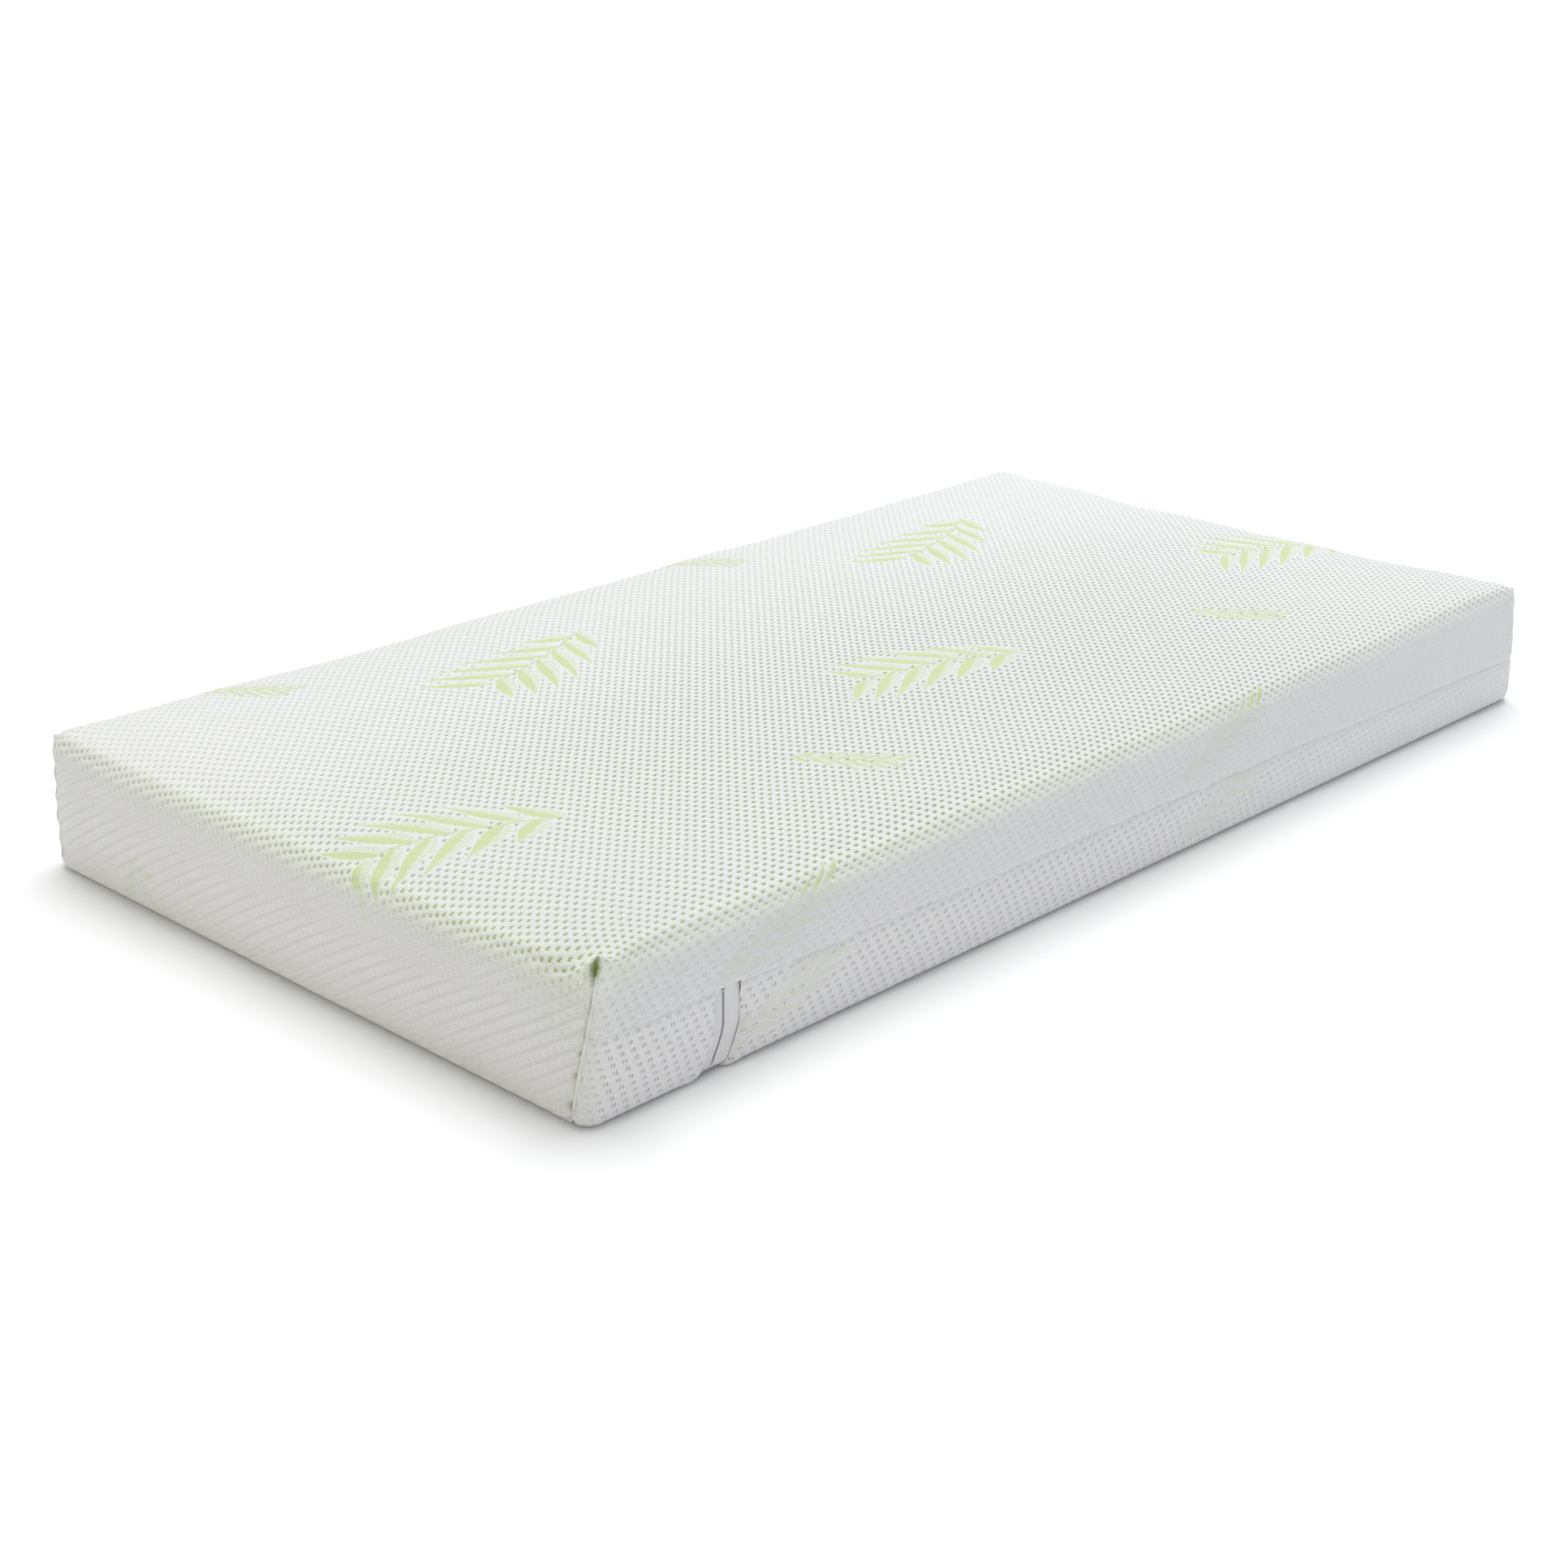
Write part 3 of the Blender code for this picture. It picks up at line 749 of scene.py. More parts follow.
def soften(box, placed, normal):
    # foam under cloth: a low crown, edges that sag between the corners, walls that belly out
    # between seams, an uneven filling, and a raised ear with a dip beside it at the foot corner
    x, y, z = box[..., 0], box[..., 1], box[..., 2]
    tx, ty = np.clip(x / halfWidth, -1, 1), np.clip(y / halfLength, -1, 1)
    up = np.clip(normal[..., 2], 0, 1)
    shift = soft["crown"] * (1 - tx**2) * (1 - ty**4) * up
    seam = seamHeight(y)
    onSide = np.abs(normal[..., 0])
    share = np.where(z > seam, (z - seam) / (height - seam), z / seam)
    bellySide = np.sin(math.pi * np.clip(share, 0, 1))
    bellyEnd = np.sin(math.pi * np.clip(z / height, 0, 1))
    shift = shift + soft["sideBulge"] * bellySide * onSide**2 * smoothStep(1.0, 0.93, np.abs(ty))
    shift = (
        shift
        + soft["endBulge"] * bellyEnd * normal[..., 1] ** 2 * smoothStep(1.0, 0.85, np.abs(tx))
    )
    loose = smoothStep(0.0, 0.02, z)
    shift = shift + soft["uneven"] * ripples(placed, 4, 9, 0.07, 0.32) * loose
    shift = (
        shift + 0.35 * soft["uneven"] * ripples(placed, 9, 12, 0.022, 0.05) * loose * (1 - 0.7 * up)
    )
    swell = fieldAt(box)
    # the cloth lies flat beside the zip
    v = np.where(z > 1e-6, halfWidth + height - z, 2 * halfWidth + height - x)
    v = np.where((x < 0) & (z > 1e-6), 3 * halfWidth + height + z, v)
    toZip = np.abs(y - zipY - zipSwing(v))
    calm = np.maximum(smoothStep(0.014, 0.06, toZip), smoothStep(seam, seam + 0.02, z))
    moved = placed + (normal * shift[..., None] + swell) * calm[..., None]
    sag = (
        soft["edgeSag"] * (1 - ty**2) * np.abs(tx) ** 6
        + 0.6 * soft["edgeSag"] * (1 - tx**2) * np.abs(ty) ** 10
    )
    sag = sag + soft["endSag"] * smoothStep(0.09, 0.0, halfLength - np.abs(y)) * (1 - tx**10)
    moved[..., 2] -= sag * smoothStep(0.3, 1.0, z / height)
    # the foot's +X corner is pulled to a point by the seam, with a dip beside it
    away = np.linalg.norm(box - [halfWidth, -halfLength, height], axis=-1)
    pull = soft["ear"] * np.exp(-((away / soft["earReach"]) ** 2))
    moved += pull[..., None] * np.array([0.45, -0.45, 0.75])
    beside = np.linalg.norm(box - [halfWidth - 0.032, 0.003 - halfLength, height], axis=-1)
    moved[..., 2] -= soft["earDip"] * soft["ear"] * np.exp(-((beside / 0.019) ** 2))
    across = np.exp(-(((halfWidth - x) / soft["setBackReach"]) ** 2))
    across = across * smoothStep(0.10, 0.0, y + halfLength)
    moved[..., 1] += soft["setBack"] * across * np.clip(z / height, 0, 1) ** 1.3
    pinch = np.linalg.norm(box - [halfWidth - 0.004, -halfLength, height - 0.010], axis=-1)
    moved -= normal * (soft["hollow"] * np.exp(-((pinch / soft["hollowReach"]) ** 2)))[..., None]
    return moved


def seamPinch(box, normal):
    # depth below the surface near the side seams and the corner seams, with small puckers
    x, y, z = box[..., 0], box[..., 1], box[..., 2]
    onSide = np.abs(np.abs(x) - halfWidth) < 1e-6
    onEnd = np.abs(np.abs(y) - halfLength) < 1e-6
    toSeam = np.where(onSide, np.abs(z - seamHeight(y)), 1.0)
    toCorner = np.where(onSide, halfLength - np.abs(y) + cornerShift(z), 1.0)
    toCorner = np.where(onEnd & ~onSide, np.abs(halfWidth - np.abs(x) - cornerShift(z)), toCorner)
    toCorner = np.where(z >= height - 1e-6, 1.0, toCorner)
    depth = 0.6 * soft["seamDepth"] * np.exp(-((toSeam / 0.0022) ** 2))
    cornerDepth = soft["seamDepth"] * np.exp(-((toCorner / 0.0026) ** 2))
    depth = np.maximum(depth, cornerDepth * smoothStep(height, height - 0.02, z))
    wave = np.sin(2 * math.pi * y / 0.0165 + 2.1 * np.sin(y / 0.043)) * np.exp(-toSeam / 0.007)
    cornerWave = np.sin(2 * math.pi * z / 0.019 + 1.3) * np.exp(-toCorner / 0.009)
    # over the zip's opening the seam presses the cloth down to the tapes
    past = np.maximum(np.maximum(zipY - zipLine["footSide"] - y, y - zipY - zipLine["headSide"]), 0)
    depth = depth + zipLine["press"] * np.exp(-((past / 0.0030) ** 2) - (toSeam / 0.0035) ** 2)
    return depth + 0.5 * soft["pucker"] * (wave + 1.6 * cornerWave)


def wrapTop(u, v):
    # cloth coordinates of the top panel -> points on the sharp block, folding over its edges
    overEnd, overSide = np.maximum(np.abs(u) - halfLength, 0), np.maximum(np.abs(v) - halfWidth, 0)
    sideArm = overSide > 0
    x = np.where(sideArm, halfWidth - overEnd, np.abs(v)) * np.sign(v)
    y = np.where(overEnd > 0, halfLength, np.abs(u)) * np.sign(u)
    drop = np.where(sideArm, overSide, overEnd)
    under = np.maximum(drop - height, 0)
    y = y - np.sign(u) * under
    return np.stack([x, y, np.clip(height - drop, 0, height)], -1)


def wrapBase(u, v):
    # cloth coordinates of a base panel -> points on the sharp block: down +X, under, up -X
    floorStart, floorEnd = halfWidth + height, 3 * halfWidth + height
    z = np.where(v < floorStart, floorStart - v, np.where(v > floorEnd, v - floorEnd, 0))
    x = np.clip(floorStart + halfWidth - v, -halfWidth, halfWidth)
    overEnd = np.maximum(np.abs(u) - halfLength, 0)
    x = x - np.sign(x) * overEnd
    y = np.clip(u, -halfLength, halfLength)
    return np.stack([x, y, z], -1)


def trimTop(u, v):
    # the outline of the top panel: a cross, with the corner seams' shift and the side seams
    endReach = halfLength + height + soft["tuckUnder"]
    u = np.clip(u, -endReach, endReach)
    sideReach = halfWidth + height - seamHeight(np.clip(u, -halfLength, halfLength))
    v = np.clip(v, -sideReach, sideReach)
    overEnd, overSide = np.abs(u) - halfLength, np.abs(v) - halfWidth
    shiftSide = cornerShift(height - np.maximum(overSide, 0))
    shiftEnd = (
        cornerShift(height - np.clip(overEnd, 0, height))
        + soft["slant"] * np.clip((overEnd - height) / soft["tuckUnder"], 0, 1)
    )
    good = (overEnd <= 0) | ((overSide > 0) & (overEnd <= shiftSide)) | (overSide <= -shiftEnd)
    toSide = ~good & (overSide > overEnd)
    toEnd = ~good & ~toSide
    u = np.where(toSide, np.sign(u) * (halfLength + shiftSide), u)
    v = np.where(toEnd, np.sign(v) * (halfWidth - shiftEnd), v)
    return u, v


def trimBase(end):
    # the outline of a base panel: end -1 is the short foot part and +1 the long part
    floorStart, floorEnd = halfWidth + height, 3 * halfWidth + height

    def trim(u, v):
        reach = seamHeight(np.clip(u, -halfLength, halfLength))
        v = np.clip(v, floorStart - reach, floorEnd + reach)
        z = np.maximum(np.maximum(floorStart - v, v - floorEnd), 0)
        onFloor = (v > floorStart) & (v < floorEnd)
        inFrom = np.minimum(v - floorStart, floorEnd - v)
        wrap = soft["cornerWrap"]
        floorOuter = (
            halfLength
            + np.interp(inFrom, [0, wrap, wrap + soft["slant"]], [wrap, 0, -soft["tuckUnder"]])
        )
        outer = np.where(onFloor, floorOuter, halfLength + cornerShift(z))
        inner = zipY + zipSwing(v) + (zipLine["headSide"] if end > 0 else -zipLine["footSide"])
        low, high = (-outer, inner) if end < 0 else (inner, outer)
        return np.clip(u, low, high), v

    return trim


def clothGrid(name, turn, uRange, vRange, trim, wrap, material, end=0):
    # one panel of cloth: a grid turned to follow the rows of dimples, trimmed by moving outside
    # points to the outline, folded round the block, softened, and dimpled at every dimple's vertex
    stepU, stepV = knit["pitch"] / 4, knit["row"] / 2
    cosine, sine = math.cos(turn), math.sin(turn)
    corners = np.array(
        [(a * cosine - b * sine, a * sine + b * cosine) for a in uRange for b in vRange]
    )
    low, high = corners.min(0), corners.max(0)
    i = np.arange(math.floor(low[0] / stepU), math.ceil(high[0] / stepU) + 1)
    j = np.arange(math.floor(low[1] / stepV), math.ceil(high[1] / stepV) + 1)
    i, j = np.meshgrid(i, j, indexing="ij")
    along, across = i * stepU, j * stepV
    u0, v0 = along * cosine + across * sine, -along * sine + across * cosine
    u, v = trim(u0, v0)
    inside = (np.abs(u - u0) + np.abs(v - v0)) < 1e-9
    dimple = (j % 2 == 0) & ((i - j // 2) % 4 == 0) & inside
    box = wrap(u, v)
    placed, normal = roundBlock(box)
    points = soften(box, placed, normal)
    depth = (
        seamPinch(box, normal)
        + soft["dimple"] * dimple * (0.3 + 0.7 * np.clip(normal[..., 2], 0, 1))
    )
    if end:
        toZip = np.abs(
            u - (zipY + zipSwing(v) + (zipLine["headSide"] if end > 0 else -zipLine["footSide"]))
        )
        parted = smoothStep(0.0005, 0.009, seamHeight(box[..., 1]) - box[..., 2])
        lip = zipLine["headLip"] if end > 0 else zipLine["footLip"]
        depth = (
            depth
            + parted * (
                lip * np.exp(-((toZip / 0.0026) ** 2))
                - 0.0009 * np.exp(-(((toZip - 0.010) / 0.006) ** 2))
            )
        )
    points = points - normal * depth[..., None]
    points[..., 2] = np.maximum(points[..., 2], 0.0006)
    shape = u.shape
    faces = gridFaces(*shape)
    flat = points.reshape(-1, 3)
    a, b, c, d = (flat[faces[:, k]] for k in range(4))
    area = np.linalg.norm(np.cross(c - a, d - b), axis=1) / 2
    faces = faces[area > 2e-8]
    facing = np.cross(flat[faces[:, 2]] - flat[faces[:, 0]], flat[faces[:, 3]] - flat[faces[:, 1]])
    outward = (facing * normal.reshape(-1, 3)[faces].mean(1)).sum(1) < 0
    faces[outward] = faces[outward][:, ::-1]
    used, renumbered = np.unique(faces, return_inverse=True)
    faces = renumbered.reshape(-1, 4)
    stitches = np.stack([u * cosine - v * sine, u * sine + v * cosine], -1).reshape(-1, 2)[used]
    cloth = np.stack([u, v], -1).reshape(-1, 2)[used]
    tones = dict(zip(("tuck", "stretch", "rib", "knot", "level", "shade"), clothTone(box, normal)))
    piece = makePiece(
        name,
        flat[used],
        faces,
        material,
        "mattress",
        layers={"stitches": stitches, "cloth": cloth},
        values={tone: values.ravel()[used] for tone, values in tones.items()},
    )
    print(name, len(faces), "faces")
    return piece


looseStitches = ((0.017, 0.0030), (0.040, 0.0026), (0.058, 0.0018))  # heights and radii


def clothTone(box, normal):
    # how much the tuck stitches show, and how green they look where the cloth is stretched
    x, y, z = box[..., 0], box[..., 1], box[..., 2]
    up = smoothStep(0.2, 0.9, normal[..., 2])
    below = smoothStep(0.0, 0.006, seamHeight(y) - z)
    onEnd = np.abs(normal[..., 1])
    toHead = smoothStep(-0.3, 1.0, y / halfLength)
    side = (0.27 + 0.36 * below) * (1 - 0.6 * toHead)
    wall = side * (1 - onEnd) + 0.13 * onEnd
    flat = (
        (1 - 0.55 * smoothStep(0.2, -0.9, x / halfWidth))
        * (1 - 0.25 * smoothStep(0.1, 1.0, y / halfLength))
    )
    flat = flat * (1 - 0.22 * smoothStep(-0.5, -0.95, y / halfLength))
    tuck = wall + (np.where(z > seamHeight(y), flat, 0.55) - wall) * np.abs(normal[..., 2])**2
    edge = np.minimum(halfWidth - np.abs(x), halfLength - np.abs(y))
    rim = np.exp(-(((edge - 0.004) / 0.012) ** 2)) * smoothStep(height - 0.03, height - 0.004, z)
    foot = (
        smoothStep(0.75, -1.0, y / halfLength) * (1 - 0.75 * smoothStep(0.0, -1.0, x / halfWidth))
    )
    corner = np.exp(
        -((np.linalg.norm(box - [halfWidth, -halfLength, height], axis=-1) / 0.055) ** 2)
    )
    stretch = np.clip(
        0.29 * up + 0.15 * foot * up + 0.75 * rim * (0.25 + 0.75 * foot) + 0.5 * corner, 0, 1
    )
    tuck = np.clip(tuck + (0.05 + 0.40 * onEnd) * rim + 0.2 * corner, 0, 1)
    rib = np.clip(onEnd**2, 0, 1) * smoothStep(0.002, 0.02, height - z)
    # the dark pinch under the ear and a few loose stitches down the corner seam
    pinch = [halfWidth - 0.003, -halfLength - 0.001, height - 0.009]
    toPinch = np.linalg.norm(box - pinch, axis=-1)
    knot = np.minimum(1.7 * np.exp(-((toPinch / 0.0058) ** 2)), 0.96)
    for low, size in looseStitches:
        spot = np.linalg.norm(box - [halfWidth - cornerShift(low), -halfLength, low], axis=-1)
        knot = np.maximum(knot, 0.8 * np.exp(-((spot / size) ** 2)))
    # a slightly darker tone where the cloth lies lower and turns from the light
    toKnot = np.linalg.norm(box - [halfWidth, -halfLength, height], axis=-1)
    shade = (
        up
        * (
            0.03
            + 0.11 * smoothStep(-0.6, 0.4, x / halfWidth) * smoothStep(1.3, 0.3, y / halfLength)
            + 0.16 * np.exp(-((toKnot / 0.11) ** 2))
        )
    )
    shade = (
        shade
        + 0.09 * (1 - up) * (z > seamHeight(y)) * (1 - onEnd)
        + 0.07 * onEnd * smoothStep(-0.2, 1.0, x / halfWidth)
    )
    return tuck, stretch, rib, knot, up, shade


print("cover")
reachU, reachV = halfLength + height + 0.02, halfWidth + height
coverTop = clothGrid(
    "coverTop", math.radians(8), (-reachU, reachU), (-reachV, reachV), trimTop, wrapTop, topKnit
)
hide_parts("cover_top_panel")

baseRange = (halfWidth, 3 * halfWidth + 2 * height)
coverBaseMain = clothGrid(
    "coverBaseMain",
    math.radians(5),
    (zipY, halfLength + 0.02),
    baseRange,
    trimBase(1),
    wrapBase,
    baseKnit,
    end=1,
)
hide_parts("cover_base_main")

coverBaseFoot = clothGrid(
    "coverBaseFoot",
    0.0,
    (-halfLength - 0.02, zipY),
    baseRange,
    trimBase(-1),
    wrapBase,
    baseKnit,
    end=-1,
)
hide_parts("cover_base_foot")


def coverPoint(box, depth=0.0):
    # a point of the finished cloth over a point of the sharp block, pushed in by depth
    placed, normal = roundBlock(box)
    points = soften(box, placed, normal) - normal * (seamPinch(box, normal) + depth)[..., None]
    return points, normal


# seam threads: two strands twisted along each seam's groove
thread = {"strand": 0.00042, "twist": 0.0042, "steps": 0.0009}


def makeThread(name, boxPath, replaced, depth, material):
    # the path is resampled evenly; each strand circles it once per twist, half a turn apart
    length = np.concatenate([[0], np.cumsum(np.linalg.norm(np.diff(boxPath, axis=0), axis=1))])
    even = np.linspace(0, length[-1], int(length[-1] / thread["steps"]))
    box = np.stack([np.interp(even, length, boxPath[:, k]) for k in range(3)], -1)
    points, normal = coverPoint(box, depth)
    points[:, 2] = np.maximum(points[:, 2], 0.0012)
    forward = np.gradient(points, axis=0)
    forward /= np.linalg.norm(forward, axis=1)[:, None]
    side = np.cross(forward, normal)
    angle = 2 * math.pi * even / thread["twist"]
    parts = []
    for turn in (0, math.pi):
        circle = side * np.cos(angle + turn)[:, None] + normal * np.sin(angle + turn)[:, None]
        parts.append(tubePart(points + circle * thread["strand"] * 0.9, thread["strand"], 6))
    vertices, faces = joinParts(parts)
    piece = makePiece(name, vertices, faces, material, "mattress")
    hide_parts(replaced)
    return piece


def makeThreadMaterial():
    material, nodes, links, shader = newMaterial("seamThread", (0.30, 0.32, 0.20), 0.6, sheen=0.2)
    tree = material.node_tree
    fibres = addTexture(tree, "Noise", Scale=900).outputs["Fac"]
    tone = addMix(tree, fibres, (0.20, 0.22, 0.12), (0.38, 0.40, 0.28))
    links.new(tone, shader.inputs["Base Color"])
    links.new(addBump(tree, fibres, 0.4, 0.0002), shader.inputs["Normal"])
    return material


roll = {"radius": 0.00145, "beside": 0.0021, "proud": 0.0005}


def makeRoll(name, signX, signY, material):
    # the long side's cloth turned in along the corner seam: a tube beside the seam's line, thinner
    # at both ends and a little uneven along it
    z = np.linspace(0.010, height - 0.014, 150)
    shift = cornerShift(z) - roll["beside"]
    x = np.where(shift > 0, halfWidth - shift, halfWidth)
    y = np.where(shift > 0, halfLength, halfLength + shift)
    points, normal = coverPoint(np.stack([signX * x, signY * y, z], -1), -roll["proud"])
    for _ in range(6):
        points[1:-1] = (points[:-2] + 2 * points[1:-1] + points[2:]) / 4
    share = np.linspace(0, 1, len(z))
    radius = (
        roll["radius"]
        * np.sin(math.pi * share) ** 0.3
        * (1 + 0.15 * np.sin(share * 31 + signX + 2 * signY))
    )
    radius[[0, -1]] = 0.00005
    vertices, faces = tubePart(points, radius, 8)
    piece = makePiece(name, vertices, faces, material, "mattress")
    return piece


print("seam threads")
clothEdge = makePlainNoise(
    "clothEdge", knit["white"], (0.70, 0.73, 0.64), 0.85, 900, 0.0002, sheen=0.25
)
threadMaterial = makeThreadMaterial()
ys = np.linspace(-halfLength + 0.018, halfLength - 0.018, 400)
for sign, name in ((1, "right"), (-1, "left")):
    line = np.stack([np.full_like(ys, sign * halfWidth), ys, seamHeight(ys)], -1)
    makeThread("sideSeam" + name.title(), line, "side_seam_" + name, 0.0010, threadMaterial)
for signX, nameX in ((1, "right"), (-1, "left")):
    for signY, nameY in ((1, "head"), (-1, "foot")):
        z = np.linspace(0.012, height - 0.016, 60)
        shift = cornerShift(z)
        line = np.stack([signX * (halfWidth - shift), np.full_like(z, signY * halfLength), z], -1)
        corner = nameX.title() + nameY.title()
        makeRoll("cornerRoll" + corner, signX, signY, clothEdge)
        replaced = f"corner_seam_{nameX}_{nameY}"
        makeThread("cornerSeam" + corner, line, replaced, 0.0003, threadMaterial)
for sign, name in ((1, "head"), (-1, "foot")):
    xs = np.linspace(-halfWidth + 0.018, halfWidth - 0.018, 300)
    line = np.stack([xs, np.full_like(xs, sign * (halfLength - 0.016)), np.zeros_like(xs)], -1)
    makeThread("endSeam" + name.title(), line, "end_seam_" + name, 0.0006, threadMaterial)


# the zip: woven tapes, coils, stops, slider and puller
zipParts = {
    "tapeInner": 0.0012,
    "tapeOuter": 0.0185,
    "tapeDepth": 0.0030,
    "tapeThick": 0.0006,
    "coilMiddle": 0.00145,
    "coilHalf": 0.00135,
    "coilDepth": 0.0045,
    "coilRise": 0.00062,
    "coilStep": 0.0014,
    "wire": 0.00039,
    "metal": (0.60, 0.61, 0.62),
}
tapeTop = seamHeight(zipY) + 0.0035  # the tapes end just behind the side seams
pathStart = halfWidth + height - tapeTop
pathEnd = 3 * halfWidth + height + tapeTop


def zipPoint(v, offset, depth):
    # a point beside the zip's middle line: v along it, offset across, depth below the cloth
    u = np.broadcast_to(zipY + zipSwing(v) + offset, np.broadcast(v, offset).shape)
    box = wrapBase(u, np.broadcast_to(v, u.shape))
    placed, normal = roundBlock(box)
    return soften(box, placed, normal) - normal * np.broadcast_to(depth, u.shape)[..., None], normal


def makeTapeMaterial():
    # white twill: slanting ribs along the tape with rows of tiny dots of painted shade between the
    # yarns
    white = (0.84, 0.83, 0.85)
    material, nodes, links, shader = newMaterial("zipTwill", white, 0.75, sheen=0.15)
    tree = material.node_tree
    do = partial(addMath, tree)
    s, t = splitVector(tree, mapNamed(tree, "cloth"))
    rib = do("SINE", do("MULTIPLY", t, 2 * math.pi / 0.0011))
    slant = do(
        "ADD", do("MULTIPLY", s, 2 * math.pi / 0.0009), do("MULTIPLY", t, 2 * math.pi / 0.0022)
    )
    weave = do("ADD", do("MULTIPLY", rib, 0.5), do("MULTIPLY", do("SINE", slant), 0.5))
    # painted shade: dark dots where the weave is lowest, between the yarns
    yarnGapShade = do("MULTIPLY", addRamp(tree, weave, -0.5, -0.95), 0.5)
    links.new(addMix(tree, yarnGapShade, white, (0.52, 0.53, 0.54)), shader.inputs["Base Color"])
    links.new(addBump(tree, weave, 0.5, 0.0003), shader.inputs["Normal"])
    return material


def makeTape(name, side, replaced, material):
    # a flat ribbon: columns across it, an edge rib by the coil, closed over both faces and edges
    v = np.linspace(pathStart, pathEnd, 700)[:, None]
    share = np.linspace(0, 1, 15)
    offset = zipParts["tapeInner"] + share * (zipParts["tapeOuter"] - zipParts["tapeInner"])
    rib = (
        0.00022 * np.exp(-(((offset - 0.0034) / 0.0006) ** 2))
        + 0.00016 * np.exp(-(((offset - 0.0066) / 0.0005) ** 2))
    )
    wave = 0.00022 * np.sin(v / 0.0071 + side) * share
    outer = zipParts["tapeDepth"] - rib + wave
    offsets = np.concatenate([offset, offset[::-1]]) * side
    depths = np.concatenate([outer, outer[:, ::-1] + zipParts["tapeThick"]], 1)
    points, _ = zipPoint(v, offsets[None, :], depths)
    faces = gridFaces(len(v), len(offsets), False, True)
    if side < 0:
        faces = faces[:, ::-1]
    cloth = np.stack([np.broadcast_to(a, depths.shape) for a in (v, offsets)], -1).reshape(-1, 2)
    piece = makePiece(
        name,
        points.reshape(-1, 3),
        closeEnds(faces, len(v), len(offsets), side > 0),
        material,
        "mattress",
        layers={"cloth": cloth},
    )
    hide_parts(replaced)
    return piece


def closeEnds(faces, rows, columns, forward):
    # end caps of a closed strip, made from the pairs of points that face each other
    half = columns // 2
    caps = []
    for row, flip in ((0, forward), (rows - 1, not forward)):
        i = np.arange(half - 1)
        base = row * columns
        cap = np.stack([base + i, base + i + 1, base + columns - 2 - i, base + columns - 1 - i], 1)
        caps.append(cap[:, ::-1] if flip else cap)
    return np.concatenate([faces] + caps)


def makeCoil(name, side, replaced, material):
    # a wire wound round the tape's inner edge: a flattened helix along the zip's path
    loops = int((pathEnd - pathStart - 0.004) / zipParts["coilStep"])
    turn = np.arange(loops * 10) / 10
    v = pathStart + 0.003 + turn * zipParts["coilStep"]
    angle = 2 * math.pi * turn + (math.pi if side > 0 else 0)
    offset = side * (zipParts["coilMiddle"] + zipParts["coilHalf"] * np.cos(angle))
    depth = zipParts["coilDepth"] + zipParts["coilRise"] * np.sin(angle)
    path, _ = zipPoint(v, offset, depth)
    vertices, faces = tubePart(path, zipParts["wire"], 5)
    piece = makePiece(name, vertices, faces, material, "mattress")
    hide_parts(replaced)
    return piece


def loftPart(rings):
    # closed form through rings of equal size; each end is closed by a fan about its middle
    rings = np.asarray(rings)
    count, size = rings.shape[:2]
    vertices = np.concatenate(
        [rings.reshape(-1, 3), rings[0].mean(0)[None], rings[-1].mean(0)[None]]
    )
    quads = gridFaces(count, size, False, True)
    triangles = np.concatenate([quads[:, [0, 1, 2]], quads[:, [0, 2, 3]]])
    i = np.arange(size)
    first = np.stack([np.full(size, count * size), i, (i + 1) % size], 1)
    last = np.stack(
        [
            np.full(size, count * size + 1),
            (count - 1) * size + (i + 1) % size,
            (count - 1) * size + i,
        ],
        1,
    )
    triangles = np.concatenate([triangles[:, ::-1], first[:, ::-1], last[:, ::-1]])
    return orientOut(vertices, triangles)


def orientOut(vertices, triangles):
    # turns every face round if the form's signed volume is negative
    a, b, c = (vertices[triangles[:, k]] for k in range(3))
    if (np.cross(a, b) * c).sum() < 0:
        triangles = triangles[:, ::-1]
    return vertices, triangles


def slabPart(
    outX, halfY, halfZ, middleY, middleZ, thick, bevel, power=3.0, taper=0.0, dome=0.0, count=48
):
    # a plate standing on the X plane: a superellipse outline, narrowed by taper towards the bottom,
    # with its edge turned by rings that step in by the bevel
    angle = np.linspace(0, 2 * math.pi, count, endpoint=False)
    c, s = np.cos(angle), np.sin(angle)
    unitY, unitZ = np.sign(c) * np.abs(c) ** (2 / power), np.sign(s) * np.abs(s) ** (2 / power)
    rings = []
    for inset, along in (
        (2.2 * bevel, -dome),
        (bevel, 0),
        (0.3 * bevel, 0.3 * bevel),
        (0, bevel),
        (0, thick - bevel),
        (0.3 * bevel, thick - 0.3 * bevel),
        (bevel, thick),
        (2.2 * bevel, thick),
    ):
        wide = (halfY - inset) * (1 - taper * (1 - unitZ) / 2)
        rings.append(
            np.stack(
                [
                    np.full_like(c, outX + along),
                    middleY + unitY * wide,
                    middleZ + unitZ * (halfZ - inset),
                ],
                -1,
            )
        )
    return loftPart(rings)


